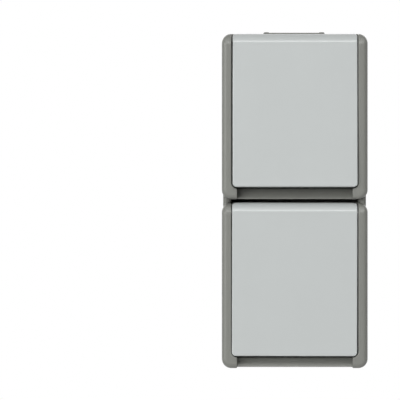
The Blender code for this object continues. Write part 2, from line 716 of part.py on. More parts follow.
def make_hinge_pin(surface):
    half = OPENING_HALF + HINGE_PIN_SEAT - GAP
    axis = hinge_height("lower")
    pin = cylinder("lid_hinge_pin", "x", HINGE_DEPTH, axis, HINGE_PIN_RADIUS, -half, half, sides=16)
    return finish(pin, surface)


def make_lid_spring(surface):
    """Torsion spring round the hinge pin: one leg on the lid, one on the deck."""
    axis = hinge_height("lower")
    radius = HINGE_PIN_RADIUS + GAP + LID_SPRING_WIRE / 2
    half = LID_SPRING_TURNS * LID_SPRING_PITCH / 2
    steps = 8 * LID_SPRING_TURNS
    points = [place("x", -half, PANEL_INNER - GAP - LID_SPRING_WIRE / 2, axis - LID_SPRING_LEG)]
    for step in range(steps + 1):
        angle = 2 * math.pi * LID_SPRING_TURNS * step / steps
        depth = HINGE_DEPTH + radius * math.cos(angle)
        height = axis + radius * math.sin(angle)
        points.append(place("x", -half + 2 * half * step / steps, depth, height))
    points[-1] = place("x", half, HINGE_DEPTH, axis - radius)
    deck = DECK_FRONT + GAP + LID_SPRING_WIRE / 2
    points.append(place("x", half, deck, axis - radius))
    print("lid_spring least gap", LID_SPRING_PITCH - LID_SPRING_WIRE)
    return finish(wire("lid_spring", points, LID_SPRING_WIRE), surface)


def make_lid_seal(surface):
    """Square ring on the inside of the lid that meets the collar."""
    middle = panel_middle("lower")
    inner = LID_SEAL_RADIUS - LID_SEAL_WIDTH
    low = COLLAR_FRONT + GAP
    high = PANEL_INNER - GAP
    profile = [(inner, low), (LID_SEAL_RADIUS, low), (LID_SEAL_RADIUS, high), (inner, high)]
    return finish(turned("lid_seal", "d", 0, middle, profile, sides=40), surface)


# Screws

def make_screw(name, x, z, seat, radius, length, head_radius, head_height, surface):
    """Slotted pan-head screw whose head rests one clearance ahead of its seat."""
    under = seat + GAP
    tip = under - length
    top = under + head_height
    profile = [
        (0, tip), (radius / 2, tip), (radius, tip + radius / 2), (radius, under), (head_radius, under),
        (head_radius, under + head_height / 2), (head_radius - head_height / 3, top), (0, top),
    ]
    screw = turned(name, "d", x, z, profile, sides=12)
    half = SLOT_WIDTH / 2
    wide = head_radius + OVERSHOOT
    cut(screw, block("slot", x - wide, x + wide, top - head_height / 2, top + OVERSHOOT, z - half, z + half))
    return finish(screw, surface)


def make_fixing_screw(name, x, z, seat, holder, surface):
    """Screw with its head at seat, threaded into a piece whose front is at holder."""
    length = seat - holder + SCREW_GRIP
    return make_screw(name, x, z, seat, SCREW_RADIUS, length, SCREW_HEAD_RADIUS, SCREW_HEAD_HEIGHT, surface)


def make_terminal_screw(name, x, z, seat, surface):
    return make_screw(
        name, x, z, seat, TERMINAL_RADIUS, TERMINAL_LENGTH, TERMINAL_HEAD_RADIUS, TERMINAL_HEAD_HEIGHT,
        surface,
    )


# Switch insert

def add_lugs(insert, unit):
    """Two fixing lugs at the sides of an insert, each with a clearance hole."""
    middle = panel_middle(unit)
    outer = LUG_OFFSET + POST_RADIUS
    inner = INSERT_HALF - EMBED
    half = LUG_HEIGHT / 2
    for side, (x, z) in zip((-1, 1), insert_screw_points(unit)):
        ends = sorted((side * inner, side * outer))
        join(insert, block("lug", *ends, LUG_BACK, LUG_FRONT, middle - half, middle + half))
        drill(insert, x, z, SCREW_HOLE, LUG_BACK - OVERSHOOT, LUG_FRONT + OVERSHOOT)


def contact_places():
    """Name, side of the terminal and height above the middle, for each of the switch's contacts."""
    return [
        ("upper_contact", 1, CONTACT_SPREAD),
        ("common_contact", 1, 0),
        ("lower_contact", -1, -CONTACT_SPREAD),
    ]


def make_switch_base(surface):
    """Insulating block with a pocket, three contact channels and two ears for the rocker's axle."""
    middle = panel_middle("upper")
    half_height = INSERT_HEIGHT / 2
    base = block(
        "switch_base", -INSERT_HALF, INSERT_HALF, INSERT_BACK, SWITCH_FRONT,
        middle - half_height, middle + half_height,
    )
    high = SWITCH_FRONT + OVERSHOOT
    pocket = CONTACT_SPREAD + CHANNEL_HALF
    half_pocket = POCKET_WIDTH / 2
    ends = (middle - pocket, middle + pocket)
    cut(base, block("pocket", -half_pocket, half_pocket, POCKET_FLOOR, high, *ends))
    for name, side, rise in contact_places():
        z = middle + rise
        ends = sorted((-side * (CONTACT_OVERHANG + RUNNING_GAP), side * (CONTACT_REACH + RUNNING_GAP)))
        cut(base, block("channel", *ends, POCKET_FLOOR, high, z - CHANNEL_HALF, z + CHANNEL_HALF))
        low = POCKET_FLOOR - TERMINAL_LENGTH
        drill(base, side * TERMINAL_OFFSET, z, TERMINAL_HOLE, low, POCKET_FLOOR + OVERSHOOT)
    ear_top = PIVOT_DEPTH + AXLE_RADIUS + GAP + EAR_WALL
    for side in (1, -1):
        ends = sorted((side * EAR_INNER, side * EAR_OUTER))
        half = EAR_HEIGHT / 2
        join(base, block("ear", *ends, SWITCH_FRONT - EMBED, ear_top, middle - half, middle + half))
        ends = sorted((side * (EAR_INNER - OVERSHOOT), side * (EAR_OUTER + OVERSHOOT)))
        cut(base, cylinder("hole", "x", PIVOT_DEPTH, middle, AXLE_RADIUS + GAP, *ends, sides=16))
    add_lugs(base, "upper")
    return finish(base, surface)


def make_switch_seal(surface):
    """Foam ring between the switch base and the deck."""
    middle = panel_middle("upper")
    half_height = INSERT_HEIGHT / 2
    low = SWITCH_FRONT + GAP
    high = low + SWITCH_SEAL
    seal = block(
        "switch_seal", -INSERT_HALF, INSERT_HALF, low, high, middle - half_height, middle + half_height
    )
    half_width = INSERT_HALF - SEAL_WIDTH
    half_height -= SEAL_WIDTH
    cut(seal, block(
        "window", -half_width, half_width, low - OVERSHOOT, high + OVERSHOOT,
        middle - half_height, middle + half_height,
    ))
    return finish(seal, surface)


def make_contact(name, side, rise, surface):
    """Contact strip with its terminal hole, carrying a knife edge or a contact button."""
    z = panel_middle("upper") + rise
    half = CONTACT_WIDTH / 2
    ends = sorted((-side * CONTACT_OVERHANG, side * CONTACT_REACH))
    strip = block(name, *ends, STRIP_BACK, STRIP_FRONT, z - half, z + half)
    under = SEESAW_DEPTH - SEESAW_THICKNESS / 2
    if rise == 0:
        tip = under - RUNNING_GAP
        knife = [(STRIP_FRONT - EMBED, z - half / 2), (tip, z), (STRIP_FRONT - EMBED, z + half / 2)]
        join(strip, prism("knife", "x", knife, -SEESAW_WIDTH / 2, SEESAW_WIDTH / 2))
    else:
        swing = CONTACT_SPREAD * math.sin(math.radians(CONTACT_TILT)) + BUTTON_HEIGHT
        top = under - swing - RUNNING_GAP
        join(strip, cylinder("button", "d", 0, z, BUTTON_RADIUS, STRIP_FRONT - EMBED, top, sides=12))
    drill(strip, side * TERMINAL_OFFSET, z, TERMINAL_HOLE, STRIP_BACK - OVERSHOOT, STRIP_FRONT + OVERSHOOT)
    return finish(strip, surface)


def make_contact_rocker(surface):
    """See-saw plate on the knife edge, with a contact button near each end."""
    middle = panel_middle("upper")
    half = SEESAW_THICKNESS / 2
    back = SEESAW_DEPTH - half
    plate = block(
        "contact_rocker", -SEESAW_WIDTH / 2, SEESAW_WIDTH / 2, back, SEESAW_DEPTH + half,
        middle - SEESAW_LENGTH / 2, middle + SEESAW_LENGTH / 2,
    )
    for side in (1, -1):
        z = middle + side * CONTACT_SPREAD
        low = back - BUTTON_HEIGHT
        join(plate, cylinder("button", "d", 0, z, BUTTON_RADIUS, low, back + EMBED, sides=12))
    return finish(plate, surface)


def make_rocker_carrier(surface):
    """Plate behind the rocker, with two axle stubs on arms and a tube for the plunger."""
    middle = panel_middle("upper")
    half_height = CARRIER_HEIGHT / 2
    carrier = block(
        "rocker_carrier", -CARRIER_HALF, CARRIER_HALF, CARRIER_BACK, CARRIER_FRONT,
        middle - half_height, middle + half_height,
    )
    join(carrier, cylinder("tube", "d", 0, middle, TUBE_RADIUS, TUBE_END, CARRIER_BACK + EMBED, sides=20))
    half = ARM_HEIGHT / 2
    for side in (1, -1):
        ends = sorted((side * (CARRIER_HALF - ARM_THICKNESS), side * CARRIER_HALF))
        low = PIVOT_DEPTH - half
        join(carrier, block("arm", *ends, low, CARRIER_BACK + EMBED, middle - half, middle + half))
        ends = sorted((side * (CARRIER_HALF - EMBED), side * (EAR_OUTER - GAP)))
        join(carrier, cylinder("axle", "x", PIVOT_DEPTH, middle, AXLE_RADIUS, *ends, sides=16))
    drill(carrier, 0, middle, TUBE_BORE, TUBE_END - OVERSHOOT, CARRIER_BACK)
    return finish(carrier, surface)


def make_plunger(surface):
    """Round-nosed pin that presses the see-saw."""
    centre = PLUNGER_TIP + PLUNGER_RADIUS
    profile = [(0, PLUNGER_TIP)]
    for radius, along in arc(0, centre, PLUNGER_RADIUS, -90, 0, 4)[1:]:
        profile.append((radius, along))
    profile += [(PLUNGER_RADIUS, PLUNGER_TOP), (0, PLUNGER_TOP)]
    return finish(turned("plunger", "d", 0, panel_middle("upper"), profile, sides=16), surface)


def make_plunger_spring(surface):
    """Coil spring between the plunger and the closed end of its tube."""
    middle = panel_middle("upper")
    radius = TUBE_BORE - GAP - SPRING_WIRE / 2
    low = PLUNGER_TOP + GAP + SPRING_WIRE / 2
    high = CARRIER_BACK - GAP - SPRING_WIRE / 2
    steps = 8 * SPRING_TURNS
    points = []
    for step in range(steps + 1):
        angle = 2 * math.pi * SPRING_TURNS * step / steps
        depth = low + (high - low) * step / steps
        points.append(place("d", depth, radius * math.cos(angle), middle + radius * math.sin(angle)))
    print("plunger_spring least gap", (high - low) / SPRING_TURNS - SPRING_WIRE)
    return finish(wire("plunger_spring", points, SPRING_WIRE), surface)


# Socket insert

def make_socket_cup(surface):
    """Round well of the socket, with a flange behind the deck and a key at each side."""
    middle = panel_middle("lower")
    profile = [
        (0, CUP_BACK), (CUP_RADIUS, CUP_BACK), (CUP_RADIUS, FLANGE_BACK), (FLANGE_RADIUS, FLANGE_BACK),
        (FLANGE_RADIUS, FLANGE_FRONT), (CUP_RADIUS, FLANGE_FRONT), (CUP_RADIUS, RIM_FRONT),
        (WELL_RADIUS, RIM_FRONT), (WELL_RADIUS, WELL_FLOOR), (0, WELL_FLOOR),
    ]
    cup = turned("socket_cup", "d", 0, middle, profile, sides=40)
    for side in (1, -1):
        ends = sorted((side * (WELL_RADIUS - KEY_DEPTH), side * (WELL_RADIUS + CUP_WALL / 2)))
        half = KEY_WIDTH / 2
        high = RIM_FRONT - KEY_DEPTH
        join(cup, block("key", *ends, WELL_FLOOR - EMBED, high, middle - half, middle + half))
    low = CUP_BACK - OVERSHOOT
    high = WELL_FLOOR + OVERSHOOT
    half = CLIP_ARM_WIDTH / 2 + RUNNING_GAP
    for side in (1, -1):
        drill(cup, side * PIN_PITCH / 2, middle, PIN_HOLE_RADIUS, low, high)
        ends = sorted((middle + side * (ARM_INNER - RUNNING_GAP), middle + side * (ARM_OUTER + RUNNING_GAP)))
        cut(cup, block("slot", -half, half, low, high, *ends))
    drill(cup, 0, middle, SCREW_HOLE, low, high)
    return finish(cup, surface)


def make_socket_seal(surface):
    """Flat ring between the flange of the cup and the deck."""
    low = FLANGE_FRONT + GAP
    high = low + SOCKET_SEAL
    inner = CUP_RADIUS + GAP
    profile = [(inner, low), (FLANGE_RADIUS, low), (FLANGE_RADIUS, high), (inner, high)]
    return finish(turned("socket_seal", "d", 0, panel_middle("lower"), profile, sides=40), surface)


def make_socket_base(surface):
    """Insulating block behind the cup, with a bore and a terminal pocket for each contact sleeve."""
    middle = panel_middle("lower")
    half_height = INSERT_HEIGHT / 2
    base = block(
        "socket_base", -INSERT_HALF, INSERT_HALF, INSERT_BACK, SOCKET_FRONT,
        middle - half_height, middle + half_height,
    )
    floor = SLEEVE_BACK - GAP
    high = SOCKET_FRONT + OVERSHOOT
    half_tab = SLEEVE_TAB_WIDTH / 2 + RUNNING_GAP
    for side in (1, -1):
        x = side * PIN_PITCH / 2
        drill(base, x, middle, SLEEVE_RADIUS + GAP, floor, high)
        foot = middle - SLEEVE_TAB_LENGTH - RUNNING_GAP
        cut(base, block("pocket", x - half_tab, x + half_tab, floor, high, foot, middle))
        drill(base, x, middle - SLEEVE_SCREW_DROP, TERMINAL_HOLE, INSERT_BACK - OVERSHOOT, floor + OVERSHOOT)
    drill(base, 0, middle, SCREW_HOLE, INSERT_BACK - OVERSHOOT, high)
    x, z = earth_screw_point()
    half_tab = EARTH_TAB_HEIGHT / 2 + RUNNING_GAP
    near = STRAP_WIDTH / 2 - EMBED - RUNNING_GAP
    far = STRAP_WIDTH / 2 + EARTH_TAB + RUNNING_GAP
    cut(base, block("pocket", near, far, EARTH_TAB_BACK - GAP, high, z - half_tab, z + half_tab))
    drill(base, x, z, TERMINAL_HOLE, EARTH_TAB_FRONT - TERMINAL_LENGTH, high)
    add_lugs(base, "lower")
    return finish(base, surface)


def make_contact_sleeve(name, side, surface):
    """Sleeve that takes one pin of a plug, with a flat tab for its terminal screw."""
    middle = panel_middle("lower")
    x = side * PIN_PITCH / 2
    bore = SLEEVE_RADIUS - SLEEVE_WALL
    profile = [
        (bore, SLEEVE_BACK), (SLEEVE_RADIUS, SLEEVE_BACK),
        (SLEEVE_RADIUS, SLEEVE_FRONT), (bore, SLEEVE_FRONT),
    ]
    sleeve = turned(name, "d", x, middle, profile, sides=16)
    half = SLEEVE_TAB_WIDTH / 2
    front = SLEEVE_BACK + SLEEVE_TAB_THICKNESS
    top = middle - bore - SLEEVE_WALL / 2
    join(sleeve, block("tab", x - half, x + half, SLEEVE_BACK, front, middle - SLEEVE_TAB_LENGTH, top))
    drill(sleeve, x, middle - SLEEVE_SCREW_DROP, TERMINAL_HOLE, SLEEVE_BACK - OVERSHOOT, front + OVERSHOOT)
    return finish(sleeve, surface)


def earth_screw_point():
    x = (STRAP_WIDTH + STRAP_THICKNESS + EARTH_TAB) / 2
    return x, panel_middle("lower") + ARM_OUTER - EARTH_TAB_INSET


def make_earth_bracket(surface):
    """Strap behind the cup, with a springy arm up each side of the well and a terminal tab."""
    middle = panel_middle("lower")
    half = STRAP_WIDTH / 2
    ends = (middle - ARM_OUTER, middle + ARM_OUTER)
    strap = block("earth_bracket", -half, half, STRAP_BACK, STRAP_FRONT, *ends)
    tip = RIM_FRONT - CLIP_ARM_DROP
    bulge = (WELL_FLOOR + RIM_FRONT) / 2
    reach = (tip - bulge) / 2
    line = [(STRAP_BACK + EMBED, 0), (bulge - reach, 0), (bulge, CLIP_ARM_NOSE), (bulge + reach, 0), (tip, 0)]
    half_arm = CLIP_ARM_WIDTH / 2
    for side in (1, -1):
        outline = [(depth, middle + side * (ARM_INNER - nose)) for depth, nose in line]
        outline += [(depth, middle + side * (ARM_OUTER - nose)) for depth, nose in reversed(line)]
        join(strap, prism("arm", "x", outline, -half_arm, half_arm))
    x, z = earth_screw_point()
    half_tab = EARTH_TAB_HEIGHT / 2
    riser = half + STRAP_THICKNESS
    join(strap, block("riser", half - EMBED, riser, EARTH_TAB_BACK, STRAP_FRONT, z - half_tab, z + half_tab))
    far = half + EARTH_TAB
    low, high = EARTH_TAB_BACK, EARTH_TAB_FRONT
    join(strap, block("tab", riser - EMBED, far, low, high, z - half_tab, z + half_tab))
    drill(strap, x, z, TERMINAL_HOLE, low - OVERSHOOT, high + OVERSHOOT)
    drill(strap, 0, middle, SCREW_HOLE, STRAP_BACK - OVERSHOOT, STRAP_FRONT + OVERSHOOT)
    return finish(strap, surface)


# Assembly

def add_pivot(name, depth, z, tilt):
    """Empty on a joint axis; the pieces parented to it turn with it. Tilt is in degrees about +X."""
    pivot = bpy.data.objects.new(name, None)
    bpy.context.scene.collection.objects.link(pivot)
    pivot.location = (0, -depth, z)
    pivot.rotation_euler = (math.radians(tilt), 0, 0)
    return pivot


def hang(pivot, *pieces):
    for piece in pieces:
        piece.data.transform(Matrix.Translation(-pivot.location))
        piece.parent = pivot


def build_box(dark, rubber, steel):
    make_back_box(dark)
    make_gasket("upper_gasket", 1, rubber)
    make_gasket("lower_gasket", -1, rubber)
    make_grommet("top_cable_grommet", 1, BOX_HALF_HEIGHT + BOSS_RISE, rubber)
    make_grommet("bottom_cable_grommet", -1, BOX_HALF_HEIGHT, rubber)
    make_upper_frame(dark)
    make_lower_frame(dark)
    for unit in UNIT_BOTTOM:
        for hand, (x, z) in zip(("left", "right"), frame_screw_points(unit)):
            make_fixing_screw(f"{unit}_frame_screw_{hand}", x, z, DECK_FRONT, LEDGE_FRONT, steel)


def build_switch(light, black, rubber, brass, steel):
    middle = panel_middle("upper")
    rocker_pivot = add_pivot("rocker_pivot", PIVOT_DEPTH, middle, -ROCKER_TILT)
    hang(
        rocker_pivot, make_rocker(light), make_rocker_carrier(black), make_plunger(black),
        make_plunger_spring(steel),
    )
    contact_pivot = add_pivot("contact_pivot", SEESAW_DEPTH, middle, CONTACT_TILT)
    hang(contact_pivot, make_contact_rocker(brass))
    make_switch_base(black)
    make_switch_seal(rubber)
    for name, side, rise in contact_places():
        make_contact(name, side, rise, brass)
        screw_name = name.replace("contact", "terminal_screw")
        make_terminal_screw(screw_name, side * TERMINAL_OFFSET, middle + rise, STRIP_FRONT, steel)
    for hand, (x, z) in zip(("left", "right"), insert_screw_points("upper")):
        make_fixing_screw(f"switch_screw_{hand}", x, z, LUG_FRONT, LUG_POST_TOP, steel)


def build_socket(light, pale, black, rubber, brass, steel):
    middle = panel_middle("lower")
    lid_pivot = add_pivot("lid_pivot", HINGE_DEPTH, hinge_height("lower"), 0)
    hang(lid_pivot, make_lid(light), make_lid_seal(rubber))
    make_hinge_pin(steel)
    make_lid_spring(steel)
    make_socket_cup(pale)
    make_socket_seal(rubber)
    make_socket_base(black)
    make_earth_bracket(steel)
    tab_front = SLEEVE_BACK + SLEEVE_TAB_THICKNESS
    for hand, side in (("left", -1), ("right", 1)):
        make_contact_sleeve(f"contact_sleeve_{hand}", side, brass)
        x = side * PIN_PITCH / 2
        make_terminal_screw(f"socket_terminal_screw_{hand}", x, middle - SLEEVE_SCREW_DROP, tab_front, steel)
    make_terminal_screw("earth_terminal_screw", *earth_screw_point(), EARTH_TAB_FRONT, steel)
    make_fixing_screw("socket_centre_screw", 0, middle, WELL_FLOOR, SOCKET_FRONT, steel)
    for hand, (x, z) in zip(("left", "right"), insert_screw_points("lower")):
        make_fixing_screw(f"socket_screw_{hand}", x, z, LUG_FRONT, LUG_POST_TOP, steel)


def main():
    for obj in list(bpy.data.objects):
        bpy.data.objects.remove(obj)
    light = material("light_grey_plastic", (0.54, 0.56, 0.55), 0.42)
    dark = material("dark_grey_plastic", (0.22, 0.225, 0.20), 0.45)
    pale = material("pale_grey_plastic", (0.50, 0.52, 0.51), 0.40)
    black = material("black_plastic", (0.03, 0.03, 0.03), 0.50)
    rubber = material("black_rubber", (0.02, 0.02, 0.02), 0.80)
    brass = material("brass", (0.72, 0.52, 0.22), 0.30, 1.0)
    steel = material("zinc_steel", (0.62, 0.62, 0.60), 0.32, 1.0)
    build_box(dark, rubber, steel)
    build_switch(light, black, rubber, brass, steel)
    build_socket(light, pale, black, rubber, brass, steel)


main()
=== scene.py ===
"""Looks of a surface-mounted rocker switch above a lidded socket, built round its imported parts.

Metres, +Z up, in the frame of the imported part: the wall is the plane y = 0 and the front looks towards -Y,
so a depth d from the wall lies at y = -d.
"""
import json
import math

import bmesh
import bpy
from mathutils import Matrix, Vector


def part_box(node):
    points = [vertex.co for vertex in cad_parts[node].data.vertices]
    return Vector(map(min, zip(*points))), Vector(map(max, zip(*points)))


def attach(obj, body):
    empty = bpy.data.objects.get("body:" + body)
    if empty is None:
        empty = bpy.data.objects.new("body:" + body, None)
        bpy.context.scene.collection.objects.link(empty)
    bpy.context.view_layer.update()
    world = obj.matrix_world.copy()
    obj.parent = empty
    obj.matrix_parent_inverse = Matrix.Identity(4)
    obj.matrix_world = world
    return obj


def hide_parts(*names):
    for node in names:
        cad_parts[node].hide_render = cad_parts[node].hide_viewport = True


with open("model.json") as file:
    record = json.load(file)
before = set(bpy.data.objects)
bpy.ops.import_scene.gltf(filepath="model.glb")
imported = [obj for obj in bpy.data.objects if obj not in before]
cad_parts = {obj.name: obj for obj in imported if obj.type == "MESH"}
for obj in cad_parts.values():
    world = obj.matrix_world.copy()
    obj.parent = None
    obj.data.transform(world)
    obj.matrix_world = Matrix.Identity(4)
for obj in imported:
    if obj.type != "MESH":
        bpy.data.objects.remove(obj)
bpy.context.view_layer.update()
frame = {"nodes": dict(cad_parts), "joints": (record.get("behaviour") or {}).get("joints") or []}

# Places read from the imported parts
FRAME_LOW, FRAME_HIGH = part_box("lower_frame")
LID_LOW, LID_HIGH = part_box("lid")
BOX_LOW, BOX_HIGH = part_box("back_box")
CUP_LOW, CUP_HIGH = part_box("socket_cup")
PIN_LOW, PIN_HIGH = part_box("lid_hinge_pin")
GROMMET_LOW, GROMMET_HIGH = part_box("top_cable_grommet")
UNIT_SPANS = {
    unit: (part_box(f"{unit}_frame")[0].z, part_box(f"{unit}_frame")[1].z) for unit in ("upper", "lower")
}
JOINTS = {joint["name"]: joint for joint in frame["joints"]}
ROCKER_PIVOT = Vector(JOINTS["rocker_tilt"]["pos_m"])
ROCKER_TRAVEL = JOINTS["rocker_tilt"]["range_deg"][1]
HALF_WIDTH = FRAME_HIGH.x
FRAME_FRONT = -FRAME_LOW.y
PANEL_FRONT = -LID_LOW.y
PANEL_HALF = LID_HIGH.x
BOX_DEPTH = -BOX_LOW.y
BOX_HALF_WIDTH = BOX_HIGH.x
HINGE_DEPTH = -(PIN_LOW.y + PIN_HIGH.y) / 2
HINGE_DROP = LID_HIGH.z - (PIN_LOW.z + PIN_HIGH.z) / 2
FOOT_GAP = {"upper": 0.00045, "lower": 0.0006}     # panel's lower edge above the feet
FOOT_HEIGHT = LID_LOW.z - FOOT_GAP["lower"] - UNIT_SPANS["lower"][0]

# Sizes of the covers, as moulded
BACK_GAP = 0.0003                                  # rim of the box to the rim of a cover
FRAME_BACK = BOX_DEPTH + BACK_GAP
FRAME_WALL = 0.0032
TONGUE_INSET = 0.0019                              # ring behind the wall that closes the seam to the box
TONGUE_RISE = 0.00025
CHEEK_WIDTH = 0.00425
FRAME_CORNER = CHEEK_WIDTH
CHEEK_ROUND = 0.0021
CHEEK_TOP_ROUND = 0.0006
CHEEK_BEND_DROP = 0.0043                           # bend line of the cheeks below the top
CHEEK_BEND_ROUND = 0.0034
OPENING_HALF = HALF_WIDTH - CHEEK_WIDTH
FOOT_WIDTH = 0.0068
OPENING_CORNER = FOOT_WIDTH - CHEEK_WIDTH
SILL_RISE = {"upper": 0.0001, "lower": 0.0005}     # sill of the finger recess above the cover's bottom
SILL_RECESS = {"upper": 0.0037, "lower": 0.0030}   # and behind its front
SILL_LEAN = {"upper": 0.0030, "lower": 0.0025}
DECK_DROP = 0.0105                                 # deck behind the front of the cheeks
DECK_THICKNESS = 0.0020
DECK_FRONT = FRAME_FRONT - DECK_DROP
DECK_BACK = DECK_FRONT - DECK_THICKNESS
TOP_LIP = 0.0025
COLLAR_INNER = 0.0222
COLLAR_OUTER = 0.0242
SEAL_GAP = 0.0003                                  # collar to the seal in the lid
COLLAR_FRONT = -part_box("lid_seal")[1].y - SEAL_GAP
SWING_ROOM = 0.0005                                # round the lid's hood as it turns
SCREW_HOLE = 0.0017
WINDOW_HALF_WIDTH = 0.01775
WINDOW_HALF_HEIGHT = 0.0105
WINDOW_CORNER = 0.0010

# Sizes of the box
BOX_CORNER = 0.0045
BOX_WALL = 0.0022
BOX_FLOOR = 0.0025
LEDGE_WIDTH = 0.0013                               # step inside the rim, where a gasket lies
LEDGE_DROP = 0.0015
LEDGE = BOX_DEPTH - LEDGE_DROP                     # front of that step, and of the posts of the covers
WEB = 0.0055                                       # bar between the two halves
WIRE_WAY_HALF = 0.0060                             # wire way through the bar
WIRE_WAY_DEPTH = 0.0085
POST_RADIUS = 0.0032
POST_BORE = 0.0090
INSERT_POST = 0.0172                               # front of the posts of the switch and the socket
ENTRY_RADIUS = 0.0100
PAD_WIDTH = 0.0277
PAD_DEPTH = 0.0230
PAD_BEAD_WIDTH = 0.0025
PAD_BEAD_RISE = 0.0003
LUG_GAP = 0.0001                                   # round the lugs between the covers
LUG_LINE = (                                       # distance from the middle, and behind the cheeks
    (0.0286, 0.0155), (0.02875, 0.0060), (0.0294, 0.0052), (0.0302, 0.0047), (0.0310, 0.0045),
    (0.0317, 0.0046), (BOX_HALF_WIDTH, 0.0052),
)
GROOVE_HALF = 0.00075                              # groove along the front of the bar
GROOVE_DEPTH = 0.0025
SLOT_RADIUS = 0.0025
SLOT_REACH = 0.0055
SLOT_PITCH = 0.1200
SLOT_SPREAD = 0.0360

# Sizes of the panels
BEND_DROP = 0.0037                                 # bend line of a panel below the top
BEND_LEAN = 0.45
BEND_ROUND = 0.0022
PANEL_CORNER = 0.0017
PANEL_EDGE = 0.00045                               # rounding along a panel's edges
PANEL_THICKNESS = 0.0020
SKIRT_DEPTH = 0.0030
SKIRT_THICKNESS = 0.0018
HOOD_END = {"upper": 100.0, "lower": 108.0}        # degrees round the hinge axis, from the front
PANEL_SHIFT = {"upper": 1.0e-4, "lower": -3.0e-5}  # sideways, within the play of each panel
PANEL_GROW = {"upper": 0.0, "lower": 8.0e-5}       # each side, taken from that play
LID_SKEW = 0.12                                    # degrees, the lid hangs a little askew
KNUCKLE_RADIUS = 0.0030
KNUCKLE_WIDTH = 0.0025
KNUCKLE_OFFSET = 0.0112
KNUCKLE_END = 250                                  # degrees round the hinge axis
CLIP_RISE = 0.0093                                 # clips of the rocker above and below its middle
CLIP_THICKNESS = 0.0015
CLIP_HALF = 0.0080
CLIP_DEPTH = 0.0028

# Studio and camera
AMBIENT = 0.04
LAMP_DISTANCE = 3.0
LAMPS = {                                          # degrees round and up, width, height, watts
    "key": (-36, 11, 2.6, 1.2, 51.5),
    "front": (0, 42, 1.0, 1.0, 34),
    "top": (0, 66, 1.2, 1.2, 9),
    "rear_left": (-150, 25, 2.4, 1.6, 25),
    "rear_right": (150, 25, 2.4, 1.6, 25),
}
FLOOR_DROP = 0.085                                 # floor below the part
FLOOR_HALF = 1.9
FLOOR_GLOW = 0.45
FLOOR_COLOUR = (0.86, 0.86, 0.86)
FLOOR_DRIFT = 0.01
FLOOR_CLOUD = 0.2                                  # size of the faint clouds in its paint
FLOOR_ROUGHNESS = 0.9
WHITE = (1.0, 1.0, 1.0, 1.0)
IMAGE_SIZE = 400                                   # pixels each way
PART_MIDDLE_X = 294.88                             # pixel of the part's middle, from the left
PART_MIDDLE_Y = 200.93                             # and from the top
VIEW_WIDTH = 0.18106                               # metres across the image at the front of the part
CAMERA_DISTANCE = 3.0
SENSOR = 36.0                                      # millimetres, as the lens is

# Colours, and sizes and depths of the marks on a surface
LIGHT_GREY = (0.488, 0.512, 0.507)
DARK_GREY = (0.178, 0.181, 0.164)
PALE_GREY = (0.455, 0.475, 0.470)
BLACK_PLASTIC = (0.022, 0.022, 0.023)
BLACK_RUBBER = (0.018, 0.018, 0.018)
BRASS = (0.70, 0.50, 0.21)
ZINC = (0.30, 0.30, 0.29)
PLASTIC_IOR = 1.5
CLOUD_SIZE = 0.02                                  # slow change of a plastic's colour
GLOSS_SIZE = 0.006                                 # and of its gloss
WAVE_SIZE, WAVE_DEPTH = 0.03, 0.00008              # flow marks
GRAIN_SIZE = 0.00035
FINE_GRAIN = 0.000001                              # depths of the grain
PLAIN_GRAIN = 0.000004
COARSE_GRAIN = 0.00001
STAIN_SIZE = 0.004                                 # slow change of a metal's colour
STAIN_DRIFT = 0.06
DRAWING_SIZE, DRAWING_DEPTH = 0.0004, 0.000006     # drawing marks on metal
DRAWING_STRETCH = 0.08
DRAWING_GLOSS = 0.08
NOISE_LOW, NOISE_HIGH = 0.3, 0.7                   # where most of a noise lies

# Fine points of the meshes
NODE_EDGE = 0.00012                                # rounding of edges on small inner pieces
NODE_WELD = 1e-6
NODE_SHARP = 40                                    # degrees, the edges of those pieces that are rounded
EDGE = 0.00030                                     # rounding of small moulded edges
EDGE_SHARP = 38                                    # degrees, the moulded edges that are rounded
SMOOTH_UP_TO = 48                                  # degrees, edges that are shaded smooth
FLAT_UP_TO = 0.6                                   # degrees, edges that are dissolved
BEVEL_STEPS = 2
MERGE = 0.00005                                    # points closer than this become one
ROUNDING_ROOM = 1.3                                # least length of edges beside a rounding, in its widths
CORNER_POINTS = 9                                  # on a rounded corner
OVERSHOOT = 0.0010                                 # how far a cutter runs past what it cuts
EMBED = 0.0003                                     # how far joined solids run into each other


def at(x, depth, z):
    return Vector((x, -depth, z))


# Outlines

def arc(centre_u, centre_v, radius, start, end, steps):
    """Points on a circle between two angles in degrees, both ends included."""
    points = []
    for step in range(steps + 1):
        angle = math.radians(start + (end - start) * step / steps)
        points.append((centre_u + radius * math.cos(angle), centre_v + radius * math.sin(angle)))
    return points


def rounded_rectangle(u0, u1, v0, v1, radius, steps=CORNER_POINTS - 1):
    return (
        arc(u1 - radius, v0 + radius, radius, -90, 0, steps)
        + arc(u1 - radius, v1 - radius, radius, 0, 90, steps)
        + arc(u0 + radius, v1 - radius, radius, 90, 180, steps)
        + arc(u0 + radius, v0 + radius, radius, 180, 270, steps)
    )


def bend_line(front, bend, top, back, radius, arc_steps=6, roll_steps=12):
    """Side line of a bent face as (z, depth): flat, softened at the bend, then rolling back to the top."""
    knee = front - (front - back) * BEND_LEAN
    lean = math.atan2(front - knee, top - bend)
    reach = radius * math.tan(lean / 2)
    line = []
    for step in range(arc_steps + 1):
        angle = lean * step / arc_steps
        depth = front - radius * (1 - math.cos(angle))
        line.append((bend - reach + radius * math.sin(angle), depth))
    start_z, start_depth = line[-1]
    for step in range(1, roll_steps + 1):
        t = step / roll_steps
        z = (1 - t) ** 2 * start_z + (1 - (1 - t) ** 2) * top
        depth = (1 - t) ** 2 * start_depth + 2 * t * (1 - t) * knee + t ** 2 * back
        line.append((z, depth))
    return line


